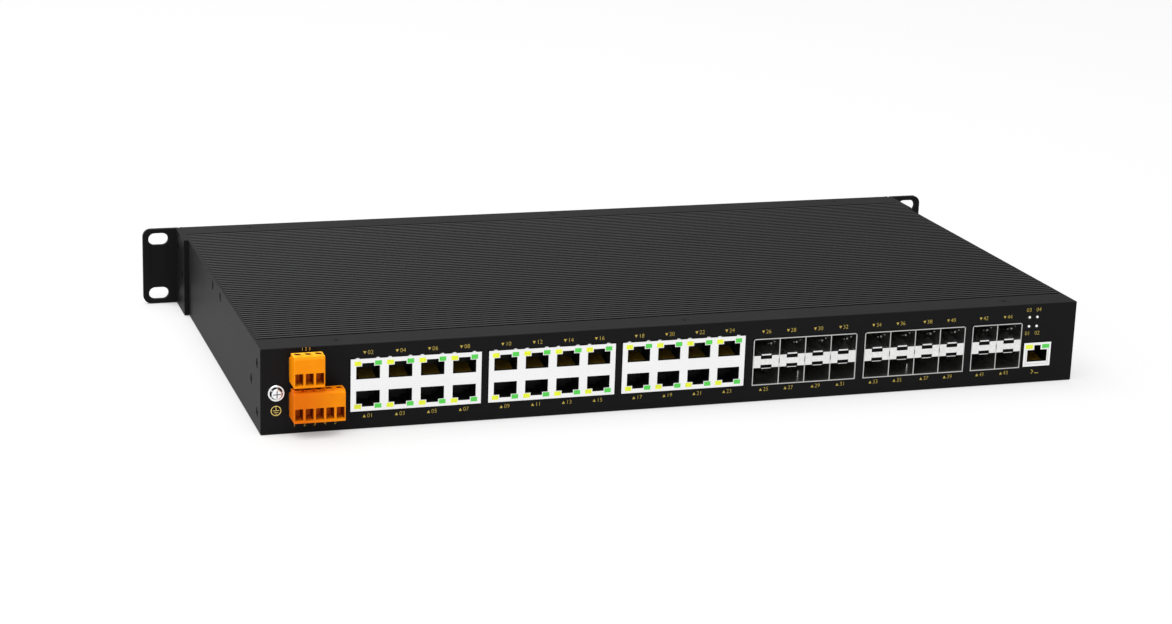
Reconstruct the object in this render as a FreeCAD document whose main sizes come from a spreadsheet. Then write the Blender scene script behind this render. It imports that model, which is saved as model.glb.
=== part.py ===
import FreeCAD, Part
import math
import os
import re

import Sketcher

# A one-unit rack-mount ethernet switch with a ribbed lid, in millimetres.
# The origin is the centre of the case's underside: +X runs to the right as seen from the ports,
# +Y from the port panel towards the rack ears, and +Z up.

DIMENSIONS = [
    ("body_width", 440.0, "case, across the side walls"),
    ("body_depth", 245.0, "port panel face to rear face"),
    ("body_height", 43.6, "one rack unit less its clearance"),
    ("tray_sheet", 1.5, "floor and side walls of the folded tray"),
    ("panel_sheet", 1.5, "port and rear panels"),
    ("tray_fold", 0.6, "outer radius of the tray's folds"),
    ("panel_fold", 0.5, "outer radius of the panels' top folds"),
    ("strip_depth", 16.6, "flat fold of each panel over the lid"),
    ("foot_fold", 14.0, "lower fold of each panel on the tray floor"),
    ("lid_gap", 0.5, "room between the lid and the panels"),
    ("lid_end_gap", 0.15, "room between the lid and the side walls"),
    ("lid_plate", 2.0, "lid plate under the ridges"),
    ("ridge_pitch", 3.5, "from one ridge to the next"),
    ("ridge_width", 1.75, "top of a ridge"),
    ("ridge_count", 60, "ridges across the lid"),
    ("rib_width", 6.0, "screw ribs under the lid"),
    ("rib_drop", 3.5, "screw ribs below the lid plate"),
    ("screw_slot", 2.6, "screw channels of the lid's ribs"),
    ("lid_end_y", 11.45, "lid end screws from mid depth"),
    ("lid_end_z", 39.3, "height of the lid end screws"),
    ("cover_screw_in", 8.0, "strip screws from the case's faces"),
    ("cover_screw_x", 181.0, "outer strip screws from the middle"),
    ("head_radius", 2.6, "small screws, head"),
    ("head_height", 0.9, "small screws, head"),
    ("shank_radius", 1.25, "small screws, shank"),
    ("cover_screw_length", 4.0, "strip screws, overall"),
    ("side_screw_length", 5.5, "side screws, overall"),
    ("ear_screw_length", 8.0, "ear screws, overall"),
    ("fix_near", 8.0, "near pair of ear fixings from the case's end"),
    ("fix_far", 23.2, "far ear fixing from the case's end"),
    ("fix_rise", 12.45, "near pair above and below mid height"),
    ("ear_span", 482.6, "rack width over both ears"),
    ("ear_sheet", 2.5, "rack ears"),
    ("ear_height", 43.6, "rack ears"),
    ("ear_leg", 30.5, "leg along the case's side"),
    ("ear_corner", 4.5, "outer corners of the ears"),
    ("ear_bend", 2.5, "outer radius of the ear's bend"),
    ("slot_span", 465.1, "between the slots of the two ears"),
    ("slot_rise", 31.75, "between the slots of one ear"),
    ("slot_length", 11.2, "rack slots, end to end"),
    ("slot_width", 7.0, "rack slots"),
    ("board_top", 8.6, "upper face of the main board"),
    ("board_sheet", 1.6, "boards"),
    ("cutout_gap", 0.3, "room round the connectors in the panel"),
    ("jack_block_first", -142.5, "middle of the first jack block"),
    ("jack_block_pitch", 70.0, "from one jack block to the next"),
    ("jack_block_width", 66.2, "jack block"),
    ("jack_block_height", 26.8, "jack block"),
    ("jack_block_depth", 26.0, "jack block"),
    ("jack_lift", 0.6, "jack shields above the board"),
    ("sole_in", 3.0, "soles of the jack housings behind the jack faces"),
    ("jack_proud", 0.8, "jack faces in front of the panel"),
    ("jack_pitch", 16.27, "from one jack to the next"),
    ("jack_width", 11.9, "plug opening"),
    ("jack_near", 3.0, "plug opening, inner edge from the block's middle"),
    ("jack_far", 9.6, "plug opening, outer edge from the block's middle"),
    ("jack_notch", 11.15, "latch notch, outer edge from the block's middle"),
    ("jack_notch_width", 6.0, "latch notch"),
    ("jack_depth", 12.0, "plug opening behind the face"),
    ("shield_sheet", 0.3, "jack shields"),
    ("lens_offset", 5.1, "jack lights from the jack's middle"),
    ("lens_width", 3.4, "jack lights"),
    ("lens_low", 9.9, "jack lights, inner edge from the block's middle"),
    ("lens_high", 12.15, "jack lights, outer edge from the block's middle"),
    ("lens_proud", 0.1, "jack lights in front of the shield"),
    ("wire_pitch", 1.02, "jack contact wires"),
    ("wire_width", 0.45, "jack contact wires"),
    ("wire_start", 2.0, "free ends of the wires behind the face"),
    ("wire_rise", 2.1, "fixed ends of the wires above the opening's floor"),
    ("wire_height", 0.6, "fixed ends of the wires"),
    ("console_x", 198.3, "middle of the console jack"),
    ("console_width", 15.9, "console jack"),
    ("console_height", 13.1, "console jack"),
    ("console_depth", 16.0, "console jack"),
    ("console_low", 2.6, "opening above the shield's foot"),
    ("console_high", 9.1, "top of the opening above the shield's foot"),
    ("console_notch", 11.7, "top of the latch notch above the shield's foot"),
    ("console_opening", 11.6, "opening, across"),
    ("console_notch_width", 3.8, "latch notch, across"),
    ("console_lens_width", 4.2, "console lights"),
    ("console_lens_offset", 4.85, "console lights from the jack's middle"),
    ("console_lens_low", 9.8, "console lights above the shield's foot"),
    ("console_lens_high", 12.0, "console lights above the shield's foot"),
    ("first_cage_x", 64.3, "middle of the first module cage"),
    ("second_cage_x", 126.45, "middle of the second module cage"),
    ("third_cage_x", 174.0, "middle of the third module cage"),
    ("cage_pitch", 14.3, "from one module bay to the next"),
    ("cage_sheet", 0.5, "module cages"),
    ("cage_height", 25.0, "module cages"),
    ("cage_depth", 48.0, "module cages"),
    ("cage_proud", 0.4, "module cages in front of the panel"),
    ("cage_fold", 1.2, "outer radius of the cages' top folds"),
    ("web_height", 6.7, "centre web between the two rows of bays"),
    ("latch_width", 5.8, "latch slots of the webs"),
    ("latch_height", 1.4, "latch slots of the webs"),
    ("latch_depth", 6.0, "latch slots of the webs"),
    ("lip_width", 5.3, "latch lips over the slots"),
    ("lip_height", 0.7, "latch lips over the slots"),
    ("lip_depth", 8.0, "latch lips over the slots"),
    ("socket_width", 12.4, "module sockets"),
    ("socket_height", 6.4, "module sockets"),
    ("socket_depth", 9.0, "module sockets"),
    ("light_radius", 0.8, "status light pipes"),
    ("light_first_x", 192.65, "left column of status lights"),
    ("light_first_z", 31.35, "lower row of status lights"),
    ("light_step_x", 4.5, "between the columns"),
    ("light_step_z", 5.0, "between the rows"),
    ("light_proud", 0.4, "pipes in front of the panel"),
    ("light_length", 6.0, "pipes, overall"),
    ("plug_left", -205.8, "left end of both terminal plugs"),
    ("relay_low", 26.4, "underside of the relay plug"),
    ("power_low", 8.65, "underside of the power plug"),
    ("pole_pitch", 5.08, "from one pole to the next"),
    ("plug_reach", 12.0, "plugs in front of the panel"),
    ("plug_height", 15.4, "plugs"),
    ("plug_crown", 8.5, "tall front part of a plug, front to back"),
    ("plug_step", 2.8, "from the crown down to the shoulder"),
    ("plug_bevel", 1.2, "front top edge of a plug"),
    ("nose_length", 8.0, "plug nose inside the header"),
    ("nose_low", 3.0, "underside of the nose above the plug's"),
    ("nose_high", 12.0, "top of the nose above the plug's underside"),
    ("entry_width", 3.95, "mouth of a wire entry"),
    ("entry_height", 6.1, "mouth of a wire entry"),
    ("entry_low", 1.2, "wire entry above the plug's underside"),
    ("throat_width", 3.7, "inner end of a wire entry"),
    ("throat_height", 5.6, "inner end of a wire entry"),
    ("throat_low", 1.45, "inner end above the plug's underside"),
    ("funnel_depth", 1.2, "tapered part of a wire entry"),
    ("entry_depth", 10.5, "wire entry, overall"),
    ("clamp_depth", 4.0, "wire clamps"),
    ("clamp_wall", 0.45, "wire clamps"),
    ("well_radius", 1.95, "screw wells of the plugs"),
    ("well_depth", 6.5, "screw wells of the plugs"),
    ("well_back", 4.2, "middle of the wells behind the plug's front"),
    ("clamp_screw_radius", 1.85, "clamp screws"),
    ("clamp_screw_height", 4.2, "clamp screws"),
    ("header_wall", 0.75, "headers"),
    ("header_back", 1.2, "rear wall of the headers"),
    ("header_depth", 10.0, "headers"),
    ("header_room", 0.1, "room round the nose"),
    ("pin_side", 1.0, "header pins"),
    ("pin_length", 5.0, "header pins"),
    ("pin_start", 8.3, "front ends of the pins behind the panel face"),
    ("earth_x", -212.3, "earth screw"),
    ("earth_z", 21.05, "earth screw"),
    ("earth_shank", 2.0, "earth screw"),
    ("earth_head", 3.5, "earth screw"),
    ("earth_head_height", 2.4, "earth screw"),
    ("earth_crown", 0.9, "broken edge of the earth screw's head"),
    ("earth_length", 8.0, "earth screw below its head"),
    ("washer_radius", 4.25, "toothed washer"),
    ("washer_sheet", 0.8, "toothed washer"),
    ("nut_width", 7.0, "earth nut, across flats"),
    ("nut_height", 3.2, "earth nut"),
    ("board_half_width", 214.0, "main board from the middle"),
    ("board_front", 2.0, "main board behind the panel face"),
    ("board_rear", 105.0, "rear edge of the main board"),
    ("post_x", 205.0, "outer standoffs from the middle"),
    ("post_y", 85.0, "standoffs from mid depth"),
    ("post_width", 5.5, "standoffs, across flats"),
    ("chip_side", 40.0, "switch chip"),
    ("chip_height", 2.6, "switch chip"),
    ("chip_y", 20.0, "switch chip"),
    ("pad_sheet", 0.8, "thermal pad"),
    ("spreader_side", 64.0, "heat spreader"),
    ("port_chip_side", 20.0, "port chips"),
    ("port_chip_height", 1.4, "port chips"),
    ("port_chip_y", -78.0, "port chips"),
    ("brick_x", -175.0, "power module"),
    ("brick_y", -45.0, "power module"),
    ("brick_width", 58.0, "power module"),
    ("brick_depth", 37.0, "power module"),
    ("brick_height", 12.7, "power module"),
    ("can_first_x", -196.0, "first storage capacitor"),
    ("can_pitch", 14.0, "storage capacitors"),
    ("can_y", 5.0, "storage capacitors"),
    ("can_radius", 5.0, "storage capacitors"),
    ("can_height", 20.0, "storage capacitors"),
]

JACK_BLOCKS = 3
JACK_COLUMNS = 4
WIRES = 8
CAGES = [("first", 4), ("second", 4), ("third", 2)]
POWER_POLES = 5
RELAY_POLES = 3
CANS = 4
LIGHT_ROWS = 2
LIGHT_COLUMNS = 2
OVERSHOOT = 1.0
HEX_SIDES = 6
HEAD_SIDES = 8
SMALL_ROUND_SIDES = 10
EARTH_SIDES = 16

FRONT = "(-body_depth / 2)"
MID_HEIGHT = "(body_height / 2)"
LID_SEAT = "(body_height - panel_sheet)"
LID_UNDER = "(body_height - panel_sheet - lid_plate)"
JACK_FACE = f"({FRONT} - jack_proud)"
JACK_LOW = "(board_top + jack_lift)"
JACK_MIDDLE = "(jack_block_height / 2)"
CAGE_FACE = f"({FRONT} - cage_proud)"

TURNS = {
    "+Z": FreeCAD.Rotation(),
    "-Z": FreeCAD.Rotation(FreeCAD.Vector(1, 0, 0), 180),
    "+X": FreeCAD.Rotation(FreeCAD.Vector(0, 1, 0), 90),
    "-X": FreeCAD.Rotation(FreeCAD.Vector(0, 1, 0), -90),
    "+Y": FreeCAD.Rotation(FreeCAD.Vector(1, 0, 0), -90),
    "-Y": FreeCAD.Rotation(FreeCAD.Vector(1, 0, 0), 90),
}
SIDES = {"left": -1, "right": 1}
INWARD = {"left": "+X", "right": "-X"}

doc = FreeCAD.newDocument("rack_switch")
sheet = doc.addObject("Spreadsheet::Sheet", "Sheet")
nodes = []


def write_sheet():
    """Put every driving dimension in the sheet, with its name as the cell's alias."""
    for row, (name, value, note) in enumerate(DIMENSIONS, start=1):
        sheet.set(f"A{row}", name)
        sheet.set(f"B{row}", str(value))
        sheet.setAlias(f"B{row}", name)
        sheet.set(f"C{row}", note)
    doc.recompute()


def size(name):
    """The number in a named cell, for shapes that are worked out in code."""
    return float(sheet.get(name))


def bound(formula):
    """A formula of cell names as an expression: body_width becomes Sheet.body_width."""
    return re.sub(r"[a-z][a-z_]*", lambda word: "Sheet." + word.group(), formula)


def bind(item, prop, formula):
    """Bind one property of an object to a formula of cell names."""
    item.setExpression(prop, bound(formula))


def place(item, corner, turn="+Z"):
    """Turn an object's own +Z to an axis and bind its position."""
    item.Placement = FreeCAD.Placement(FreeCAD.Vector(), TURNS[turn])
    for axis, formula in zip("xyz", corner):
        bind(item, f"Placement.Base.{axis}", formula)
    return item


def node(item, name):
    """Name a finished sub-part; its label is also its file's name."""
    item.Label = name
    nodes.append(item)
    return item


def box(corner, lengths):
    """A block from its lowest corner."""
    item = doc.addObject("Part::Box", "Block")
    for prop, formula in zip(("Length", "Width", "Height"), lengths):
        bind(item, prop, formula)
    return place(item, corner)


def cylinder(foot, radius, height, along="+Z"):
    """A cylinder from the middle of its foot."""
    item = doc.addObject("Part::Cylinder", "Round")
    bind(item, "Radius", radius)
    bind(item, "Height", height)
    return place(item, foot, along)


def prism(foot, radius, height, along="+Z", sides=SMALL_ROUND_SIDES):
    """A many-sided rod from the middle of its foot: small repeated rounds have few faces."""
    item = doc.addObject("Part::Prism", "Rod")
    item.Polygon = sides
    bind(item, "Circumradius", radius)
    bind(item, "Height", height)
    return place(item, foot, along)


def hexagon(foot, across_flats, height, along="+Z"):
    """A six-sided rod by its width across flats."""
    radius = f"{across_flats} / 2 / {math.cos(math.pi / HEX_SIDES)}"
    return prism(foot, radius, height, along, HEX_SIDES)


def fuse(items):
    """One solid from several that meet."""
    item = doc.addObject("Part::MultiFuse", "Joined")
    item.Shapes = items
    item.Refine = True
    return item


def group(items):
    """Several separate solids kept as one object."""
    item = doc.addObject("Part::Compound", "Group")
    item.Links = items
    return item


def cut(base, tools):
    """A solid with other shapes cut out of it."""
    item = doc.addObject("Part::Cut", "Cut")
    item.Base = base
    item.Tool = tools[0] if len(tools) == 1 else group(tools)
    return item


def sketch_on(body, role):
    """A sketch on one of a body's own origin planes."""
    plane = [item for item in body.Origin.OriginFeatures if item.Role == role][0]
    sketch = body.newObject("Sketcher::SketchObject", "Outline")
    sketch.AttachmentSupport = [(plane, "")]
    sketch.MapMode = "FlatFace"
    return sketch


def outline(sketch, corners):
    """Draw a closed outline whose corners are dimensioned from the sketch's origin."""
    first = sketch.GeometryCount
    count = len(corners)
    turn = 2 * math.pi / count
    seeds = [FreeCAD.Vector(math.cos(k * turn), math.sin(k * turn), 0) for k in range(count)]
    for k in range(count):
        sketch.addGeometry(Part.LineSegment(seeds[k], seeds[(k + 1) % count]))
    for k in range(count):
        following = first + (k + 1) % count
        sketch.addConstraint(Sketcher.Constraint("Coincident", first + k, 2, following, 1))
    for k, corner in enumerate(corners):
        seed = (seeds[k].x, seeds[k].y)
        for kind, start, formula in zip(("DistanceX", "DistanceY"), seed, corner):
            index = sketch.addConstraint(Sketcher.Constraint(kind, -1, 1, first + k, 1, start))
            bind(sketch, f"Constraints[{index}]", formula)


def rectangle(low, high):
    """The four corners of an upright rectangle."""
    return [low, (high[0], low[1]), high, (low[0], high[1])]


def pad(body, role, corners, length, side="Symmetric", reverse=False):
    """Raise an outline into a solid, both ways from its plane or one way."""
    sketch = sketch_on(body, role)
    outline(sketch, corners)
    feature = body.newObject("PartDesign::Pad", "Raised")
    feature.Profile = sketch
    feature.SideType = side
    feature.Reversed = reverse
    bind(feature, "Length", length)
    return feature


def pocket(body, role, outlines, length=None, reverse=False):
    """Sink outlines into a body, to a depth from their plane or right through both ways."""
    sketch = sketch_on(body, role)
    for corners in outlines:
        outline(sketch, corners)
    feature = body.newObject("PartDesign::Pocket", "Sunk")
    feature.Profile = sketch
    feature.Reversed = reverse
    if length is None:
        feature.SideType = "Symmetric"
        feature.Type = "ThroughAll"
    else:
        bind(feature, "Length", length)
    return feature


def repeat(body, feature, count, length):
    """Repeat a feature along its sketch's own first axis."""
    pattern = body.newObject("PartDesign::LinearPattern", "Repeated")
    pattern.Originals = [feature]
    pattern.Direction = (feature.Profile[0], ["H_Axis"])
    bind(pattern, "Occurrences", count)
    bind(pattern, "Length", length)
    body.Tip = pattern
    return pattern


def edges_at(shape, **places):
    """Names of the straight edges that lie wholly at the given coordinates."""
    found = []
    for number, edge in enumerate(shape.Edges, start=1):
        ends = [vertex.Point for vertex in edge.Vertexes]
        if all(abs(getattr(end, axis) - at) < 1e-4 for end in ends for axis, at in places.items()):
            found.append(f"Edge{number}")
    return found


def round_edges(body, feature, places, radius):
    """Round the edges of a feature that lie at the given places."""
    doc.recompute()
    names = [name for spot in places for name in edges_at(feature.Shape, **spot)]
    fillet = body.newObject("PartDesign::Fillet", "Rounded")
    fillet.Base = (feature, names)
    bind(fillet, "Radius", radius)
    return fillet


def break_edges(item, spot, width):
    """Cut the sharp edges of an object that lie at the given place."""
    doc.recompute()
    numbers = [int(name[len("Edge"):]) for name in edges_at(item.Shape, **spot)]
    crown = doc.addObject("Part::Chamfer", "Crown")
    crown.Base = item
    crown.Edges = [(number, size(width), size(width)) for number in numbers]
    return crown


def screw_head(spot, along):
    """The sunk head of a small screw, which is also the recess for it."""
    return prism(spot, "head_radius", "head_height", along, HEAD_SIDES)


def screw_shank(spot, length, along):
    """The shank of a small screw, which is also the hole for it."""
    return prism(spot, "shank_radius", length, along, HEX_SIDES)


def small_screw(spot, length, along):
    """A small screw whose head is flush at the spot."""
    return fuse([screw_head(spot, along), screw_shank(spot, length, along)])


def screw_hole(spot, length, along):
    """The recess and hole for a small screw, as two tools."""
    return [screw_head(spot, along), screw_shank(spot, length, along)]


def ear_fixings(end):
    """The three ear fixings at one end of a side wall, as (y, z)."""
    near = f"{end} * (body_depth / 2 - fix_near)"
    far = f"{end} * (body_depth / 2 - fix_far)"
    pair = [(near, f"{MID_HEIGHT} + fix_rise"), (near, f"{MID_HEIGHT} - fix_rise")]
    return pair + [(far, MID_HEIGHT)]


LID_FIXINGS = [("-lid_end_y", "lid_end_z"), ("lid_end_y", "lid_end_z")]
WALL_FIXINGS = ear_fixings(-1) + LID_FIXINGS


def base_tray():
    """Floor and side walls, folded from one sheet, with the side screws' recesses."""
    body = doc.addObject("PartDesign::Body", "Tray")
    half, inner = "body_width / 2", "body_width / 2 - tray_sheet"
    right = [(half, "0"), (half, "body_height"), (inner, "body_height"), (inner, "tray_sheet")]
    left = [(f"-({x})", z) for x, z in reversed(right)]
    blank = pad(body, "XZ_Plane", right + left, "body_depth")
    edge = size("body_width") / 2
    round_edges(body, blank, [{"x": edge, "z": 0}, {"x": -edge, "z": 0}], "tray_fold")
    holes = []
    for side, sign in SIDES.items():
        wall = f"{sign} * body_width / 2"
        for y, z in WALL_FIXINGS:
            holes += screw_hole((wall, y, z), "tray_sheet", INWARD[side])
        for y, z in ear_fixings(1):
            holes.append(screw_shank((wall, y, z), "tray_sheet", INWARD[side]))
    return node(cut(body, holes), "base_tray")


def rib(middle):
    """Corners of one slotted screw rib under the lid, from left to right."""
    left, right = f"{middle} - rib_width / 2", f"{middle} + rib_width / 2"
    start, stop = f"{middle} - screw_slot / 2", f"{middle} + screw_slot / 2"
    foot = f"{LID_UNDER} - rib_drop"
    roof = "lid_end_z + screw_slot / 2"
    corners = [(left, LID_UNDER), (left, foot), (start, foot), (start, roof)]
    return corners + [(stop, roof), (stop, foot), (right, foot), (right, LID_UNDER)]


def strip_spots(end):
    """The three strip screws along one end of the lid."""
    y = f"{end} * (body_depth / 2 - cover_screw_in)"
    return [(f"{step} * cover_screw_x", y, "body_height") for step in (-1, 0, 1)]


def top_cover():
    """The extruded lid: a plate with screw ribs below and ridges above."""
    body = doc.addObject("PartDesign::Body", "Lid")
    edge = "(body_depth / 2 - panel_sheet - lid_gap)"
    ridged = "(((ridge_count - 1) * ridge_pitch + ridge_width) / 2)"
    profile = [(f"-{edge}", LID_UNDER)] + rib("-lid_end_y") + rib("lid_end_y")
    profile += [(edge, LID_UNDER), (edge, LID_SEAT), (ridged, LID_SEAT), (ridged, "body_height")]
    profile += [(f"-{ridged}", "body_height"), (f"-{ridged}", LID_SEAT), (f"-{edge}", LID_SEAT)]
    pad(body, "YZ_Plane", profile, "body_width - 2 * tray_sheet - 2 * lid_end_gap")
    reach = "(ridge_count - 2) * ridge_pitch"
    half_groove = "(ridge_pitch - ridge_width) / 2"
    low = (f"-{reach} / 2 - {half_groove}", LID_SEAT)
    high = (f"-{reach} / 2 + {half_groove}", f"body_height + {OVERSHOOT}")
    groove = pocket(body, "YZ_Plane", [rectangle(low, high)])
    doc.recompute()
    repeat(body, groove, "ridge_count - 1", reach)
    spots = strip_spots(-1) + strip_spots(1)
    holes = [screw_shank(spot, "panel_sheet + lid_plate", "-Z") for spot in spots]
    return node(cut(body, holes), "top_cover")


def folded_panel(end):
    """A panel with a wide fold over the lid and a fold on the tray floor."""
    body = doc.addObject("PartDesign::Body", "Panel")
    face, back = f"{end} * body_depth / 2", f"{end} * (body_depth / 2 - panel_sheet)"
    foot = f"{end} * (body_depth / 2 - foot_fold)"
    strip = f"{end} * (body_depth / 2 - strip_depth)"
    profile = [(face, "tray_sheet"), (foot, "tray_sheet"), (foot, "tray_sheet + panel_sheet")]
    profile += [(back, "tray_sheet + panel_sheet"), (back, LID_SEAT), (strip, LID_SEAT)]
    profile += [(strip, "body_height"), (face, "body_height")]
    blank = pad(body, "YZ_Plane", profile, "body_width - 2 * tray_sheet")
    fold = {"y": end * size("body_depth") / 2, "z": size("body_height")}
    round_edges(body, blank, [fold], "panel_fold")
    holes = [tool for spot in strip_spots(end) for tool in screw_hole(spot, "panel_sheet", "-Z")]
    return body, holes


def window(middle, low, width, height):
    """A cut-out through the port panel round a connector."""
    corner = (f"{middle} - {width} / 2 - cutout_gap", f"{FRONT} - {OVERSHOOT}", f"{low} - cutout_gap")
    through = f"panel_sheet + {2 * OVERSHOOT}"
    return box(corner, (f"{width} + 2 * cutout_gap", through, f"{height} + 2 * cutout_gap"))


def block_middle(block):
    """Middle of one jack block, across."""
    return f"(jack_block_first + {block} * jack_block_pitch)"


def cage_width(bays):
    """Width of a module cage over its walls."""
    return f"({bays} * cage_pitch + cage_sheet)"


def plug_width(poles):
    """Width of a terminal plug."""
    return f"({poles} * pole_pitch)"


def header_size(poles):
    """Outer width, low edge above the plug's underside, and height of a header."""
    width = f"({plug_width(poles)} + 2 * header_room + 2 * header_wall)"
    low = "(nose_low - header_room - header_wall)"
    height = "(nose_high - nose_low + 2 * header_room + 2 * header_wall)"
    return width, low, height


def status_spots():
    """Middles of the four status lights, as (x, z)."""
    return [
        (f"light_first_x + {column} * light_step_x", f"light_first_z + {row} * light_step_z")
        for row in range(LIGHT_ROWS)
        for column in range(LIGHT_COLUMNS)
    ]


def port_panel():
    """The port panel with a cut-out for every connector, light and screw."""
    body, holes = folded_panel(-1)
    for block in range(JACK_BLOCKS):
        middle = block_middle(block)
        holes.append(window(middle, JACK_LOW, "jack_block_width", "jack_block_height"))
    for place_name, bays in CAGES:
        holes.append(window(f"{place_name}_cage_x", "board_top", cage_width(bays), "cage_height"))
    holes.append(window("console_x", JACK_LOW, "console_width", "console_height"))
    for poles, plug_low in ((RELAY_POLES, "relay_low"), (POWER_POLES, "power_low")):
        width, low, height = header_size(poles)
        middle = f"(plug_left + {plug_width(poles)} / 2)"
        holes.append(window(middle, f"({plug_low} + {low})", width, height))
    start = f"{FRONT} - {OVERSHOOT}"
    through = f"panel_sheet + {2 * OVERSHOOT}"
    holes += [prism((x, start, z), "light_radius", through, "+Y") for x, z in status_spots()]
    holes.append(prism(("earth_x", start, "earth_z"), "earth_shank", through, "+Y"))
    return node(cut(body, holes), "port_panel")


def rear_panel():
    """The plain panel at the rack end."""
    body, holes = folded_panel(1)
    return node(cut(body, holes), "rear_panel")


def rack_slot(middle, height):
    """One rack slot, rounded at both ends, through an ear."""
    start = f"body_depth / 2 - ear_sheet - {OVERSHOOT}"
    through = f"ear_sheet + {2 * OVERSHOOT}"
    straight = "(slot_length - slot_width)"
    corner = (f"{middle} - {straight} / 2", start, f"{height} - slot_width / 2")
    pieces = [box(corner, (straight, through, "slot_width"))]
    for step in ("-", "+"):
        end = f"{middle} {step} {straight} / 2"
        pieces.append(cylinder((end, start, height), "slot_width / 2", through, "+Y"))
    return fuse(pieces)


def rack_ear(side):
    """An angle bracket with two rack slots and three fixings to the case's side."""
    sign = SIDES[side]
    body = doc.addObject("PartDesign::Body", "Ear")
    wall, outside = f"{sign} * body_width / 2", f"{sign} * (body_width / 2 + ear_sheet)"
    tip, rear = f"{sign} * ear_span / 2", "body_depth / 2"
    leg, plate = "body_depth / 2 - ear_leg", "body_depth / 2 - ear_sheet"
    profile = [(wall, leg), (outside, leg), (outside, plate), (tip, plate), (tip, rear), (wall, rear)]
    blank = pad(body, "XY_Plane", profile, "ear_height")
    half, edge = size("ear_height") / 2, sign * size("ear_span") / 2
    corners = [{"x": edge, "z": half}, {"x": edge, "z": -half}]
    rounded = round_edges(body, blank, corners, "ear_corner")
    bend = {"x": sign * size("body_width") / 2, "y": size("body_depth") / 2}
    round_edges(body, rounded, [bend], "ear_bend")
    place(body, ("0", "0", MID_HEIGHT))
    middle = f"{sign} * slot_span / 2"
    holes = [rack_slot(middle, f"{MID_HEIGHT} {step} slot_rise / 2") for step in ("-", "+")]
    for y, z in ear_fixings(1):
        holes += screw_hole((outside, y, z), "ear_sheet", INWARD[side])
    return node(cut(body, holes), f"{side}_rack_ear")


def case_screws():
    """Small screws of the lid's strips, the side walls and the ears."""
    spots = strip_spots(-1) + strip_spots(1)
    strip = [small_screw(spot, "cover_screw_length", "-Z") for spot in spots]
    node(group(strip), "cover_screws")
    walls, ears = [], []
    for side, sign in SIDES.items():
        wall = f"{sign} * body_width / 2"
        outside = f"{sign} * (body_width / 2 + ear_sheet)"
        for y, z in WALL_FIXINGS:
            walls.append(small_screw((wall, y, z), "side_screw_length", INWARD[side]))
        for y, z in ear_fixings(1):
            ears.append(small_screw((outside, y, z), "ear_screw_length", INWARD[side]))
    node(group(walls), "side_screws")
    node(group(ears), "ear_screws")


def earth_terminal():
    """Earth screw with its toothed washer in front of the panel and its nut behind."""
    spot = ("earth_x", f"{FRONT} - washer_sheet", "earth_z")
    top = -size("body_depth") / 2 - size("washer_sheet") - size("earth_head_height")
    blank = prism(spot, "earth_head", "earth_head_height", "-Y", EARTH_SIDES)
    head = break_edges(blank, {"y": top}, "earth_crown")
    shank = prism(spot, "earth_shank", "earth_length", "+Y")
    node(fuse([head, shank]), "earth_screw")
    disc = prism(spot, "washer_radius", "washer_sheet", "+Y", EARTH_SIDES)
    node(cut(disc, [prism(spot, "earth_shank", "washer_sheet", "+Y")]), "earth_washer")
    spot = ("earth_x", f"{FRONT} + panel_sheet", "earth_z")
    blank = hexagon(spot, "nut_width", "nut_height", "+Y")
    node(cut(blank, [prism(spot, "earth_shank", "nut_height", "+Y")]), "earth_nut")


def pole_middle(pole):
    """Middle of one pole of a terminal plug, across."""
    return f"(plug_left + {pole + 0.5} * pole_pitch)"


def wire_entry(middle, low):
    """The tapered mouth and straight throat of one wire entry."""
    front = f"({FRONT} - plug_reach)"
    mouth = doc.addObject("Part::Wedge", "Mouth")
    ends = {
        "Xmin": "-entry_width / 2",
        "Xmax": "entry_width / 2",
        "Ymin": "0",
        "Ymax": "funnel_depth",
        "Zmin": "entry_low",
        "Zmax": "entry_low + entry_height",
        "X2min": "-throat_width / 2",
        "X2max": "throat_width / 2",
        "Z2min": "throat_low",
        "Z2max": "throat_low + throat_height",
    }
    for prop, formula in ends.items():
        bind(mouth, prop, formula)
    place(mouth, (middle, front, low))
    corner = (f"{middle} - throat_width / 2", f"{front} + funnel_depth", f"{low} + throat_low")
    throat = box(corner, ("throat_width", "entry_depth - funnel_depth", "throat_height"))
    return [mouth, throat]


def wire_clamp(middle, low):
    """The square metal sleeve at the inner end of a wire entry."""
    rear = f"({FRONT} - plug_reach + entry_depth)"
    corner = (f"{middle} - throat_width / 2", f"{rear} - clamp_depth", f"{low} + throat_low")
    sleeve = box(corner, ("throat_width", "clamp_depth", "throat_height"))
    inner = tuple(
        f"{start} + {inset}" for start, inset in zip(corner, ("clamp_wall", "0", "clamp_wall"))
    )
    bore = box(inner, ("throat_width - 2 * clamp_wall", "clamp_depth", "throat_height - 2 * clamp_wall"))
    return cut(sleeve, [bore])


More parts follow.
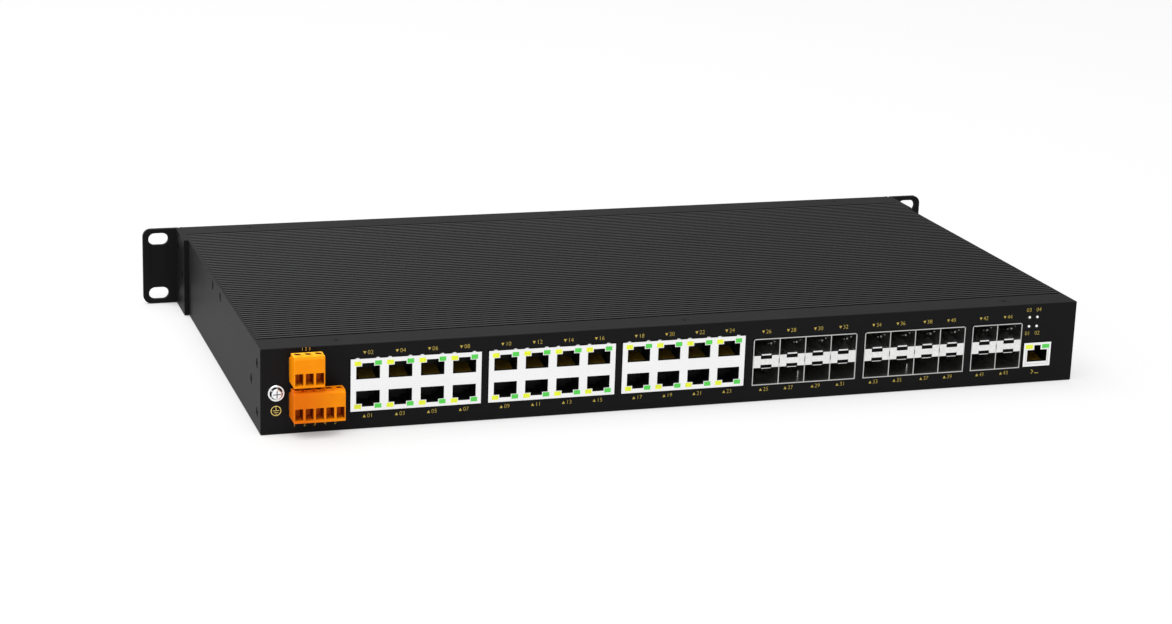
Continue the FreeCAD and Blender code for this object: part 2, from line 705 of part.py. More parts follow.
def terminal_plug(name, poles, low):
    """An orange pluggable terminal with its clamp screws and wire clamps."""
    body = doc.addObject("PartDesign::Body", "Plug")
    front, shoulder = "-plug_reach", "plug_height - plug_step"
    crown = "plug_crown - plug_reach"
    profile = [(front, "0"), ("0", "0"), ("0", "nose_low"), ("nose_length", "nose_low")]
    profile += [("nose_length", "nose_high"), ("0", "nose_high"), ("0", shoulder)]
    profile += [(crown, shoulder), (crown, "plug_height")]
    profile += [("plug_bevel - plug_reach", "plug_height"), (front, "plug_height - plug_bevel")]
    pad(body, "YZ_Plane", profile, plug_width(poles))
    place(body, (f"plug_left + {plug_width(poles)} / 2", FRONT, low))
    hollows, screws, clamps = [], [], []
    for pole in range(poles):
        middle = pole_middle(pole)
        hollows += wire_entry(middle, low)
        foot = (middle, f"{FRONT} - plug_reach + well_back", f"{low} + plug_height - well_depth")
        hollows.append(prism(foot, "well_radius", "well_depth"))
        screws.append(prism(foot, "clamp_screw_radius", "clamp_screw_height"))
        clamps.append(wire_clamp(middle, low))
    node(cut(body, hollows), f"{name}_plug")
    node(group(screws), f"{name}_clamp_screws")
    node(group(clamps), f"{name}_wire_clamps")


def terminal_header(name, poles, plug_low):
    """The shroud that a plug's nose sits in, with its pins. Returns the pins."""
    width, low, height = header_size(poles)
    middle = f"(plug_left + {plug_width(poles)} / 2)"
    foot = f"({plug_low} + {low})"
    shroud = box((f"{middle} - {width} / 2", FRONT, foot), (width, "header_depth", height))
    corner = (f"{middle} - {width} / 2 + header_wall", FRONT, f"{foot} + header_wall")
    lengths = (f"{width} - 2 * header_wall", "header_depth - header_back", f"{height} - 2 * header_wall")
    hollow = box(corner, lengths)
    pins = []
    for pole in range(poles):
        pin_z = f"{plug_low} + (nose_low + nose_high - pin_side) / 2"
        corner = (f"{pole_middle(pole)} - pin_side / 2", f"{FRONT} + pin_start", pin_z)
        pins.append(box(corner, ("pin_side", "pin_length", "pin_side")))
    node(cut(shroud, [hollow] + pins), f"{name}_header")
    node(group(pins), f"{name}_pins")
    return pins


def terminal_board(pins):
    """The small upright board that carries both headers."""
    margin = "(header_room + header_wall)"
    corner = (f"plug_left - {margin}", f"{FRONT} + header_depth", "board_top")
    height = "relay_low + nose_high - board_top"
    blank = box(corner, (f"{plug_width(POWER_POLES)} + 2 * {margin}", "board_sheet", height))
    node(cut(blank, pins), "terminal_board")


def jack_outline(middle, sign):
    """Corners of one jack's plug opening with its latch notch, in the block's own frame."""
    wide, narrow = "jack_width / 2", "jack_notch_width / 2"
    near, far, top = (f"{JACK_MIDDLE} {sign} {edge}" for edge in ("jack_near", "jack_far", "jack_notch"))
    left = [(f"{middle} - {wide}", near), (f"{middle} - {wide}", far)]
    left += [(f"{middle} - {narrow}", far), (f"{middle} - {narrow}", top)]
    right = [(f"{middle} + {narrow}", top), (f"{middle} + {narrow}", far)]
    right += [(f"{middle} + {wide}", far), (f"{middle} + {wide}", near)]
    return left + right


def lens_outline(middle, sign, step):
    """Corners of one jack light's window, in the block's own frame."""
    start = f"{middle} {step} lens_offset - lens_width / 2"
    low, high = f"{JACK_MIDDLE} {sign} lens_low", f"{JACK_MIDDLE} {sign} lens_high"
    return rectangle((start, low), (f"{start} + lens_width", high))


FIRST_COLUMN = f"(-{(JACK_COLUMNS - 1) / 2} * jack_pitch)"
COLUMN_REACH = f"{JACK_COLUMNS - 1} * jack_pitch"
ROWS = {"upper": "+", "lower": "-"}


def jack_shield(block):
    """The folded metal shield of a jack block, open behind and below."""
    body = doc.addObject("PartDesign::Body", "Shield")
    half, inner = "jack_block_width / 2", "jack_block_width / 2 - shield_sheet"
    around = rectangle((f"-{half}", "0"), (half, "jack_block_depth"))
    pad(body, "XY_Plane", around, "jack_block_height", "One side")
    room = rectangle((f"-({inner})", "shield_sheet"), (inner, f"jack_block_depth + {OVERSHOOT}"))
    pocket(body, "XY_Plane", [room], "jack_block_height - shield_sheet", reverse=True)
    openings = [jack_outline(FIRST_COLUMN, sign) for sign in ROWS.values()]
    for sign in ROWS.values():
        openings += [lens_outline(FIRST_COLUMN, sign, step) for step in ("-", "+")]
    column = pocket(body, "XZ_Plane", openings)
    doc.recompute()
    repeat(body, column, str(JACK_COLUMNS), COLUMN_REACH)
    place(body, (block_middle(block), JACK_FACE, JACK_LOW))
    return node(body, f"jack_shield_{block + 1}")


def jack_housing(block):
    """The moulded housing of a jack block, with its plug openings and a sole on the board."""
    body = doc.addObject("PartDesign::Body", "Housing")
    half = "jack_block_width / 2 - shield_sheet"
    around = rectangle((f"-({half})", "shield_sheet"), (half, "jack_block_depth"))
    pad(body, "XY_Plane", around, "jack_block_height - shield_sheet", "One side")
    sole = rectangle((f"-({half})", "sole_in"), (half, "jack_block_depth"))
    pad(body, "XY_Plane", sole, "jack_lift", "One side", reverse=True)
    openings = [jack_outline(FIRST_COLUMN, sign) for sign in ROWS.values()]
    column = pocket(body, "XZ_Plane", openings, "jack_depth")
    doc.recompute()
    repeat(body, column, str(JACK_COLUMNS), COLUMN_REACH)
    place(body, (block_middle(block), JACK_FACE, JACK_LOW))
    return node(body, f"jack_housing_{block + 1}")


def wires(middle, floor, sign):
    """Eight sprung contact wires that slope from the back of an opening down to its floor."""
    face = -size("body_depth") / 2 - size("jack_proud")
    back = face + size("jack_depth")
    root = floor + sign * size("wire_rise")
    corners = [
        FreeCAD.Vector(0, face + size("wire_start"), floor),
        FreeCAD.Vector(0, back, root - sign * size("wire_height")),
        FreeCAD.Vector(0, back, root),
    ]
    profile = Part.Face(Part.makePolygon(corners + corners[:1]))
    wire = profile.extrude(FreeCAD.Vector(size("wire_width"), 0, 0))
    first = middle - (WIRES - 1) / 2 * size("wire_pitch") - size("wire_width") / 2
    return [wire.translated(FreeCAD.Vector(first + k * size("wire_pitch"), 0, 0)) for k in range(WIRES)]


def contact_set(pieces, name):
    """One object from contact wires that are worked out in code."""
    item = doc.addObject("Part::Feature", "Contacts")
    item.Shape = Part.makeCompound(pieces)
    item.Placement = FreeCAD.Placement()
    return node(item, name)


def jack_contacts(block):
    """The contact wires of all jacks in a block: at the floor above, at the roof below."""
    middle = size("jack_block_first") + block * size("jack_block_pitch")
    mid_height = size("board_top") + size("jack_lift") + size("jack_block_height") / 2
    pieces = []
    for column in range(JACK_COLUMNS):
        x = middle + (column - (JACK_COLUMNS - 1) / 2) * size("jack_pitch")
        for sign in (1, -1):
            pieces += wires(x, mid_height + sign * size("jack_near"), sign)
    return contact_set(pieces, f"jack_contacts_{block + 1}")


def lens(left, low, width, height):
    """One light's lens, set in its window in front of the housing."""
    depth = "shield_sheet + lens_proud"
    return box((left, f"{JACK_FACE} - lens_proud", low), (width, depth, height))


def jack_lights():
    """The yellow lenses at the left and the green ones at the right of every jack."""
    for colour, step in (("yellow", "-"), ("green", "+")):
        lenses = []
        for block in range(JACK_BLOCKS):
            for column in range(JACK_COLUMNS):
                middle = f"{block_middle(block)} + {FIRST_COLUMN} + {column} * jack_pitch"
                left = f"{middle} {step} lens_offset - lens_width / 2"
                for edge in ("+ lens_low", "- lens_high"):
                    low = f"{JACK_LOW} + {JACK_MIDDLE} {edge}"
                    lenses.append(lens(left, low, "lens_width", "lens_high - lens_low"))
        left = f"console_x {step} console_lens_offset - console_lens_width / 2"
        tall = "console_lens_high - console_lens_low"
        lenses.append(lens(left, f"{JACK_LOW} + console_lens_low", "console_lens_width", tall))
        node(group(lenses), f"jack_lights_{colour}")


def console_outline():
    """Corners of the console jack's opening with its tall latch notch, in the jack's own frame."""
    wide, narrow = "console_opening / 2", "console_notch_width / 2"
    right = [(wide, "console_low"), (wide, "console_high")]
    right += [(narrow, "console_high"), (narrow, "console_notch")]
    return right + [(f"-{x}", z) for x, z in reversed(right)]


def console_jack():
    """The single console jack: shield, housing and contact wires."""
    spot = ("console_x", JACK_FACE, JACK_LOW)
    half, inner = "console_width / 2", "console_width / 2 - shield_sheet"
    shield = doc.addObject("PartDesign::Body", "ConsoleShield")
    around = rectangle((f"-{half}", "0"), (half, "console_depth"))
    pad(shield, "XY_Plane", around, "console_height", "One side")
    room = rectangle((f"-({inner})", "shield_sheet"), (inner, f"console_depth + {OVERSHOOT}"))
    pocket(shield, "XY_Plane", [room], "console_height - shield_sheet", reverse=True)
    openings = [console_outline()]
    for step in ("-", "+"):
        start = f"0 {step} console_lens_offset - console_lens_width / 2"
        high = (f"{start} + console_lens_width", "console_lens_high")
        openings.append(rectangle((start, "console_lens_low"), high))
    pocket(shield, "XZ_Plane", openings)
    node(place(shield, spot), "console_shield")
    housing = doc.addObject("PartDesign::Body", "ConsoleHousing")
    around = rectangle((f"-({inner})", "shield_sheet"), (inner, "console_depth"))
    pad(housing, "XY_Plane", around, "console_height - shield_sheet", "One side")
    sole = rectangle((f"-({inner})", "sole_in"), (inner, "console_depth"))
    pad(housing, "XY_Plane", sole, "jack_lift", "One side", reverse=True)
    pocket(housing, "XZ_Plane", [console_outline()], "jack_depth")
    node(place(housing, spot), "console_housing")
    floor = size("board_top") + size("jack_lift") + size("console_low")
    contact_set(wires(size("console_x"), floor, 1), "console_contacts")


def bay_left(middle, bays, bay):
    """Left inner face of one module bay."""
    return f"({middle} - {cage_width(bays)} / 2 + cage_sheet + {bay} * cage_pitch)"


def module_cage(number, middle, bays):
    """The folded shell of a module cage, open in front."""
    body = doc.addObject("PartDesign::Body", "Cage")
    half = f"{cage_width(bays)} / 2"
    around = rectangle((f"-{half}", "0"), (half, "cage_depth"))
    blank = pad(body, "XY_Plane", around, "cage_height", "One side")
    doc.recompute()
    edge, top = blank.Shape.BoundBox.XMax, blank.Shape.BoundBox.ZMax
    round_edges(body, blank, [{"x": edge, "z": top}, {"x": -edge, "z": top}], "cage_fold")
    low = (f"-({half} - cage_sheet)", "cage_sheet")
    high = (f"{half} - cage_sheet", "cage_height - cage_sheet")
    pocket(body, "XZ_Plane", [rectangle(low, high)], "cage_depth - cage_sheet")
    place(body, (middle, CAGE_FACE, "board_top"))
    return node(body, f"module_cage_{number}")


def cage_dividers(number, middle, bays):
    """The upright plates between neighbouring module bays."""
    plates = []
    for bay in range(1, bays):
        corner = (f"{bay_left(middle, bays, bay)} - cage_sheet", CAGE_FACE, "board_top + cage_sheet")
        lengths = ("cage_sheet", "cage_depth - cage_sheet", "cage_height - 2 * cage_sheet")
        plates.append(box(corner, lengths))
    return node(group(plates), f"cage_dividers_{number}")


WEB_LOW = "(board_top + cage_height / 2 - web_height / 2)"
WEB_HIGH = "(board_top + cage_height / 2 + web_height / 2)"
BAY_WIDTH = "(cage_pitch - cage_sheet)"


def cage_web(left):
    """The centre web of one column of bays, with a latch slot and lip for each bay."""
    lengths = (BAY_WIDTH, "cage_depth - cage_sheet", "web_height")
    web = box((left, CAGE_FACE, WEB_LOW), lengths)
    latch_left = f"{left} + ({BAY_WIDTH} - latch_width) / 2"
    lip_left = f"{left} + ({BAY_WIDTH} - lip_width) / 2"
    slots, lips = [], []
    for slot_low, lip_low in (
        (f"{WEB_HIGH} - latch_height", WEB_HIGH),
        (WEB_LOW, f"{WEB_LOW} - lip_height"),
    ):
        corner = (latch_left, CAGE_FACE, slot_low)
        slots.append(box(corner, ("latch_width", "latch_depth", "latch_height")))
        corner = (lip_left, CAGE_FACE, lip_low)
        lips.append(box(corner, ("lip_width", "lip_depth", "lip_height")))
    return fuse([cut(web, slots)] + lips)


def module_socket(left, low):
    """One edge-card socket at the back of a module bay."""
    front = f"({CAGE_FACE} + cage_depth - cage_sheet - socket_depth)"
    start = f"{left} + ({BAY_WIDTH} - socket_width) / 2"
    return box((start, front, low), ("socket_width", "socket_depth", "socket_height"))


def module_bays():
    """The three module cages with their dividers, webs and sockets."""
    for number, (place_name, bays) in enumerate(CAGES, start=1):
        middle = f"{place_name}_cage_x"
        module_cage(number, middle, bays)
        cage_dividers(number, middle, bays)
        lefts = [bay_left(middle, bays, bay) for bay in range(bays)]
        node(group([cage_web(left) for left in lefts]), f"cage_webs_{number}")
        floors = ("board_top + cage_sheet", WEB_HIGH)
        sockets = [module_socket(left, low) for left in lefts for low in floors]
        node(group(sockets), f"module_sockets_{number}")


def status_lights():
    """Four round light pipes pressed into the panel."""
    start = f"{FRONT} - light_proud"
    pipes = [prism((x, start, z), "light_radius", "light_length", "+Y") for x, z in status_spots()]
    node(group(pipes), "status_lights")


def main_board():
    """The main board on its standoffs."""
    spots = [(f"{step} * post_x", f"{end} * post_y") for step in (-1, 0, 1) for end in (-1, 1)]
    under = "(board_top - board_sheet)"
    corner = ("-board_half_width", f"{FRONT} + board_front", under)
    lengths = ("2 * board_half_width", f"board_rear - {FRONT} - board_front", "board_sheet")
    node(box(corner, lengths), "main_board")
    posts = [hexagon((x, y, "tray_sheet"), "post_width", f"{under} - tray_sheet") for x, y in spots]
    node(group(posts), "board_standoffs")


def slab(middle_x, middle_y, low, width, depth, height):
    """A block placed by the middle of its foot."""
    return box((f"{middle_x} - {width} / 2", f"{middle_y} - {depth} / 2", low), (width, depth, height))


def electronics():
    """Chips, heat path and power parts on the main board."""
    node(slab("0", "chip_y", "board_top", "chip_side", "chip_side", "chip_height"), "switch_chip")
    pad_low = "(board_top + chip_height)"
    node(slab("0", "chip_y", pad_low, "chip_side", "chip_side", "pad_sheet"), "thermal_pad")
    low = f"({pad_low} + pad_sheet)"
    foot = slab("0", "chip_y", low, "spreader_side", "spreader_side", f"{LID_UNDER} - {low}")
    channel_low = f"{LID_UNDER} - rib_drop"
    channels = [
        slab("0", y, channel_low, "spreader_side", "rib_width", "rib_drop") for y, z in LID_FIXINGS
    ]
    node(cut(foot, channels), "heat_spreader")
    chips = [
        slab(block_middle(block), "port_chip_y", "board_top", "port_chip_side", "port_chip_side",
             "port_chip_height")
        for block in range(JACK_BLOCKS)
    ]
    node(group(chips), "port_chips")
    brick = slab("brick_x", "brick_y", "board_top", "brick_width", "brick_depth", "brick_height")
    node(brick, "power_module")
    cans = [
        prism((f"can_first_x + {k} * can_pitch", "can_y", "board_top"), "can_radius", "can_height")
        for k in range(CANS)
    ]
    node(group(cans), "storage_capacitors")


def build():
    """Make every sub-part in order."""
    write_sheet()
    base_tray()
    top_cover()
    port_panel()
    rear_panel()
    for side in SIDES:
        rack_ear(side)
    case_screws()
    earth_terminal()
    terminal_plug("relay", RELAY_POLES, "relay_low")
    terminal_plug("power", POWER_POLES, "power_low")
    pins = terminal_header("relay", RELAY_POLES, "relay_low")
    pins += terminal_header("power", POWER_POLES, "power_low")
    terminal_board(pins)
    for block in range(JACK_BLOCKS):
        jack_shield(block)
        jack_housing(block)
        jack_contacts(block)
    jack_lights()
    console_jack()
    module_bays()
    status_lights()
    main_board()
    electronics()
    doc.recompute()


def check():
    """Stop if any object failed or any sub-part is not a sound solid."""
    failed = [item.Name for item in doc.Objects if {"Invalid", "Error"} & set(item.State)]
    if failed:
        raise RuntimeError(f"objects failed: {failed}")
    for item in nodes:
        if item.Shape.isNull() or not item.Shape.isValid() or not item.Shape.Solids:
            raise RuntimeError(f"{item.Label} is not a sound solid")


def export():
    """Write each sub-part to its own file."""
    os.makedirs("parts", exist_ok=True)
    for item in nodes:
        item.Shape.exportStep(f"parts/{item.Label}.step")
    print(f"{len(nodes)} sub-parts written")


build()
check()
export()
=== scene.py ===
"""Looks of a one-unit rack-mount ethernet switch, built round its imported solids."""

import logging
import math
from collections.abc import Iterable, Mapping, Sequence
from dataclasses import dataclass, field
from enum import Enum

import bmesh
import bpy
from mathutils import Matrix, Vector
from mathutils.geometry import tessellate_polygon


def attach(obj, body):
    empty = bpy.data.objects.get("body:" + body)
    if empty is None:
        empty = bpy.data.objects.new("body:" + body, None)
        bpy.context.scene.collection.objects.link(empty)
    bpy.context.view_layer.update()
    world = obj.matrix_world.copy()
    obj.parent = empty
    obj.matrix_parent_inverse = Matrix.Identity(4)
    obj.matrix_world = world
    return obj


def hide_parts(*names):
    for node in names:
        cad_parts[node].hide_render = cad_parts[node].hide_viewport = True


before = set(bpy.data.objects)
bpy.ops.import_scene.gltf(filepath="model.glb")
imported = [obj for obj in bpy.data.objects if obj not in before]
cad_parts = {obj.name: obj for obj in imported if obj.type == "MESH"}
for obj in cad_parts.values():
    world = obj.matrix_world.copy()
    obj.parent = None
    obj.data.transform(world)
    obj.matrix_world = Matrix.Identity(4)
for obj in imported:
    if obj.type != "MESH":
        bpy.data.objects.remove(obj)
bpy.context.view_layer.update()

MM = 0.001
ROOT = "root"
LOG = logging.getLogger("switch")

WHITE = (1.0, 1.0, 1.0, 1.0)
# Facets of a small round.
SIDES = 32
# Noise detail of patches and grain, where a patch turns from dark to light, and the smoothest surface.
PATCH_DETAIL = 2.0
GRAIN_DETAIL = 3.0
PATCH_STOPS = (0.3, 0.7)
LEAST_ROUGHNESS = 0.02
# How close corners of a solid are welded, and which of its edges are broken into how many facets.
WELD_MM = 0.002
EDGE_ANGLE = math.radians(40)
EDGE_FACETS = 2

Point = tuple[float, float]
Spot = tuple[float, float, float]


def linear(hex_colour: str) -> tuple[float, float, float, float]:
    """Turn an sRGB hex colour into linear light.

    Args:
        hex_colour: Six hex digits after a hash sign.

    Returns:
        Linear red, green and blue, and full opacity.
    """
    # The numbers are those of the sRGB curve.
    parts = [int(hex_colour[k:k + 2], 16) / 255 for k in (1, 3, 5)]
    light = [p / 12.92 if p <= 0.04045 else ((p + 0.055) / 1.055) ** 2.4 for p in parts]
    return light[0], light[1], light[2], 1.0


def add_node(
    tree: bpy.types.NodeTree,
    kind: str,
    settings: Mapping[str, object] | None = None,
    inputs: Mapping[str | int, object] | None = None,
) -> bpy.types.Node:
    """Add a node with its settings, values and links.

    Args:
        tree: The node tree that gets the node.
        kind: The node's type.
        settings: Properties of the node itself.
        inputs: Sockets by name or number, each with a value or with the socket that feeds it.

    Returns:
        The new node.
    """
    made = tree.nodes.new(kind)
    for name, value in (settings or {}).items():
        setattr(made, name, value)
    for key, value in (inputs or {}).items():
        if isinstance(value, bpy.types.NodeSocket):
            tree.links.new(value, made.inputs[key])
        else:
            made.inputs[key].default_value = value
    return made


class Grain(Enum):
    """Ways that a surface's fine texture runs, as stretch along X, Y and Z."""

    EVEN = (1.0, 1.0, 1.0)
    ALONG_X = (0.03, 1.0, 1.0)
    ALONG_Y = (1.0, 0.03, 1.0)


@dataclass(frozen=True)
class Finish:
    """One surface: what it is made of, how it was worked and what that shows the eye.

    Grain, relief and patches are in millimetres. Tone is the share by which the colour varies.
    """

    name: str
    colour: str
    roughness: float
    metallic: float = 0.0
    ior: float = 1.5
    specular: float = 0.5
    grain: Grain = Grain.EVEN
    grain_mm: float = 1.0
    relief_mm: float = 0.01
    patch_mm: float = 30.0
    tone: float = 0.08
    spread: float = 0.06
    coat: float = 0.0
    glow: float = 0.0

    def tint(self, tree: bpy.types.NodeTree, place: bpy.types.NodeSocket) -> bpy.types.NodeSocket:
        """Vary the colour in broad patches.

        Args:
            tree: The material's node tree.
            place: The place on the surface.

        Returns:
            The socket that gives the colour.
        """
        broad = add_node(tree, "ShaderNodeTexNoise", inputs={
            "Vector": place, "Scale": 1 / (self.patch_mm * MM), "Detail": PATCH_DETAIL})
        shade = add_node(tree, "ShaderNodeValToRGB", inputs={"Fac": broad.outputs["Fac"]})
        shares = (1 - self.tone, 1 + self.tone)
        for stop, share, position in zip(shade.color_ramp.elements, shares, PATCH_STOPS):
            stop.position = position
            stop.color = (*(min(1.0, share * part) for part in linear(self.colour)[:3]), 1.0)
        return shade.outputs["Color"]

    def make(self) -> bpy.types.Material:
        """Build the material once and hand back the same one afterwards.

        Returns:
            The node material of this finish.
        """
        found = bpy.data.materials.get(self.name)
        if found:
            return found
        material = bpy.data.materials.new(self.name)
        material.use_nodes = True
        tree = material.node_tree
        tree.nodes.clear()
        place = add_node(tree, "ShaderNodeTexCoord").outputs["Object"]
        run = add_node(tree, "ShaderNodeMapping", inputs={"Vector": place, "Scale": self.grain.value})
        fine = add_node(tree, "ShaderNodeTexNoise", inputs={
            "Vector": run.outputs["Vector"], "Scale": 1 / (self.grain_mm * MM),
            "Detail": GRAIN_DETAIL})
        worn = add_node(tree, "ShaderNodeMapRange", inputs={
            "Value": fine.outputs["Fac"],
            "To Min": max(LEAST_ROUGHNESS, self.roughness - self.spread),
            "To Max": min(1.0, self.roughness + self.spread)})
        bump = add_node(tree, "ShaderNodeBump", inputs={
            "Height": fine.outputs["Fac"], "Distance": self.relief_mm * MM, "Strength": 1.0})
        shader = add_node(tree, "ShaderNodeBsdfPrincipled", inputs={
            "Base Color": self.tint(tree, place),
            "Roughness": worn.outputs["Result"],
            "Normal": bump.outputs["Normal"],
            "Metallic": self.metallic,
            "Specular IOR Level": self.specular,
            "Coat Weight": self.coat,
            "Emission Color": linear(self.colour),
            "Emission Strength": self.glow})
        if not self.metallic:
            shader.inputs["IOR"].default_value = self.ior
        add_node(tree, "ShaderNodeOutputMaterial", inputs={"Surface": shader.outputs["BSDF"]})
        return material


class Axis(Enum):
    """Directions of the part's frame that a finish can change along."""

    ACROSS = "X"
    UP = "Z"


@dataclass(frozen=True)
class GradedFinish(Finish):
    """A surface that starts in another colour and passes into its own along one direction, to paint light and
    shade that fall across it.

    The span of the change is in millimetres in the part's frame.
    """

    start_colour: str = "#000000"
    axis: Axis = Axis.UP
    span: tuple[float, float] = (0.0, 1.0)

    def tint(self, tree: bpy.types.NodeTree, place: bpy.types.NodeSocket) -> bpy.types.NodeSocket:
        """Blend the starting colour into the patches of the plain finish.

        Args:
            tree: The material's node tree.
            place: The place on the surface.

        Returns:
            The socket that gives the colour.
        """
        along = add_node(tree, "ShaderNodeSeparateXYZ", inputs={0: place}).outputs[self.axis.value]
        share = add_node(tree, "ShaderNodeMapRange", inputs={
            "Value": along, "From Min": self.span[0] * MM, "From Max": self.span[1] * MM})
        # Sockets 6 and 7 are the two colours of a mix, and output 2 is the mixed one.
        mixed = add_node(tree, "ShaderNodeMix", {"data_type": "RGBA"}, {
            "Factor": share.outputs["Result"], 6: linear(self.start_colour), 7: super().tint(tree, place)})
        return mixed.outputs[2]


# Grain of plated, moulded and printed surfaces is really 0.05 to 0.3 mm. It is drawn coarser on all of
# them, so that it shows.
# Powder-coated steel sheet: deep matt black with a fine orange-peel grain, painted paler along the top,
# where it stands in for the sheen that light gives the top folds. The grain is really about 0.4 mm and is
# drawn coarser, so that it shows.
POWDER_COAT = GradedFinish("powder_coated_steel", "#242425", 0.47, specular=0.04, grain_mm=1.1,
                           relief_mm=0.012, patch_mm=60.0, tone=0.07,
                           start_colour="#1A1A1B", axis=Axis.UP, span=(43.2, 43.5))
# Anodised aluminium extrusion: satin black, drawn lengthways by the die, with painted shade that makes
# the groove walls between the crowns darker than the crowns.
ANODISED = GradedFinish("anodised_aluminium", "#272728", 0.36, specular=0.24, grain=Grain.ALONG_X,
                        grain_mm=0.7, relief_mm=0.006, patch_mm=90.0, tone=0.06,
                        start_colour="#0A0A0B", axis=Axis.UP, span=(43.50, 43.58))
# Black zinc plate on steel screws: a darker, slightly glossier black than the paint. The same black
# paints the shade in the latch slots, the divider slits and the earth screw's cross recess.
BLACK_ZINC_AND_SHADE = Finish("black_zinc_plated_steel_and_painted_shade", "#0C0C0D", 0.45, specular=0.04, grain_mm=0.5,
                    relief_mm=0.004, patch_mm=3.0, tone=0.2)
# Black oxide on the strip screws: about as dark as the paint, so the flush heads hardly show.
BLACK_OXIDE = Finish("black_oxide_steel", "#1E1E1F", 0.42, specular=0.05, grain_mm=0.5,
                     relief_mm=0.004, patch_mm=3.0, tone=0.1)
# Bright zinc plate on steel: cool silver with faint cloudy patches.
BRIGHT_ZINC = Finish("bright_zinc_plated_steel", "#F6F7F8", 0.27, metallic=1.0, grain_mm=0.6,
                     relief_mm=0.004, patch_mm=2.5, tone=0.06)
# Nickel plate on pressed steel: near-white metal that mirrors the pale ground softly.
NICKEL = Finish("nickel_plated_steel", "#F5F5F5", 0.27, metallic=1.0, grain=Grain.ALONG_X,
                grain_mm=0.5, relief_mm=0.002, patch_mm=12.0, tone=0.02)
# Nickel plate on the cages' centre webs: brushed, so a little greyer, with a fine speckle.
# The speckle is really about 0.2 mm and is drawn coarser, so that it shows.
SATIN_NICKEL = Finish("brushed_nickel_plated_steel", "#EAEAE9", 0.30, metallic=1.0, grain_mm=0.9,
                      relief_mm=0.004, patch_mm=0.9, tone=0.09)
# Tin plate on pressed copper alloy: softer and greyer than nickel.
TIN = Finish("tin_plated_copper_alloy", "#C6C6C4", 0.33, metallic=1.0, grain_mm=0.7,
             relief_mm=0.003, patch_mm=8.0, tone=0.05)
# Solder on the cage's pressed pips: white metal, dull enough to catch light from all sides.
SOLDER = Finish("dull_solder", "#FAFAF8", 0.65, metallic=1.0, grain_mm=0.4, relief_mm=0.003,
                patch_mm=2.0, tone=0.04)
# Pressed seam of a plated sheet: burnished, so it reads as a thin grey line.
SEAM = Finish("burnished_sheet_seam", "#9C9C99", 0.45, metallic=1.0, grain_mm=0.4, relief_mm=0.002,
              patch_mm=2.0, tone=0.08)
# Gold flash on phosphor bronze spring wire: warm and satin.
GOLD = Finish("gold_plated_bronze", "#E8C44E", 0.42, metallic=1.0, grain=Grain.ALONG_Y,
              grain_mm=0.3, relief_mm=0.002, patch_mm=4.0, tone=0.08)
# Moulded orange polyamide: saturated, with the light satin of a spark-eroded mould.
ORANGE_NYLON = Finish("moulded_orange_polyamide", "#FF9300", 0.45, ior=1.53, specular=0.08,
                      grain_mm=0.6, relief_mm=0.01, patch_mm=9.0, tone=0.05)
# The same polyamide with painted shade: a deeper orange overall, darkest at the left end, under the
# relay plug, and paling to the right.
SHADED_NYLON = GradedFinish("orange_polyamide_with_painted_shade", "#F68E00", 0.45, ior=1.53, specular=0.08,
                          grain_mm=0.6, relief_mm=0.01, patch_mm=9.0, tone=0.05,
                          start_colour="#E87200", axis=Axis.ACROSS, span=(-200.0, -184.0))
# Top of an orange moulding, painted lighter and yellower than its sides, as the light from above
# falls on it, with a soft sheen.
TOP_LIT_NYLON = Finish("orange_polyamide_painted_top_light", "#FFBE0A", 0.35, ior=1.53, specular=0.35,
                        grain_mm=0.6, relief_mm=0.005, patch_mm=9.0, tone=0.05)
# Dull brown inside the wire entries and wells: painted shade of the orange plastic, so that they read
# as deep.
ENTRY_SHADE_NYLON = Finish("brown_polyamide_painted_entry_shade", "#803506", 0.60, ior=1.53, specular=0.08,
                     grain_mm=0.5, relief_mm=0.008, patch_mm=3.0, tone=0.08)
# Tumbled copper alloy of the wire clamps: a dull red-brown metal.
COPPER_ALLOY = Finish("tumbled_copper_alloy", "#D7651E", 0.58, metallic=1.0, grain_mm=0.5,
                      relief_mm=0.004, patch_mm=2.0, tone=0.12)
# Moulded amber polyamide of the contact combs: a warm ground behind the gold wires.
AMBER_NYLON = Finish("moulded_amber_polyamide", "#5C4614", 0.50, ior=1.53, specular=0.15,
                     grain_mm=0.5, relief_mm=0.008, patch_mm=3.0, tone=0.08)
# Moulded black polyester of the connector bodies: dull, a little grey where light grazes it.
BLACK_POLYESTER = Finish("moulded_black_polyester", "#0E0E0F", 0.50, ior=1.57, specular=0.25,
                         grain_mm=0.6, relief_mm=0.008, patch_mm=6.0, tone=0.15)
# Tinted clear polycarbonate lenses, lit faintly from behind: strong colour under a thin gloss.
YELLOW_LENS = Finish("polycarbonate_lens_yellow", "#DCE60C", 0.22, ior=1.58, grain_mm=0.8,
                     relief_mm=0.004, patch_mm=2.0, tone=0.06, glow=0.18, coat=0.15)
GREEN_LENS = Finish("polycarbonate_lens_green", "#42C63A", 0.22, ior=1.58, grain_mm=0.8,
                    relief_mm=0.004, patch_mm=2.0, tone=0.06, glow=0.18, coat=0.1)
# Milky acrylic light pipes: soft white dots that glow a little.
MILKY_PIPE = Finish("milky_acrylic_light_pipe", "#F4F4F0", 0.25, ior=1.49, grain_mm=0.5,
                    relief_mm=0.003, patch_mm=1.0, tone=0.03, glow=0.35, coat=0.3)
# Screen-printed epoxy ink: flat golden yellow with slightly uneven cover.
GOLD_INK = Finish("screen_printed_epoxy_ink", "#C8B052", 0.60, specular=0.2, grain_mm=0.4,
                  relief_mm=0.004, patch_mm=1.2, tone=0.12)
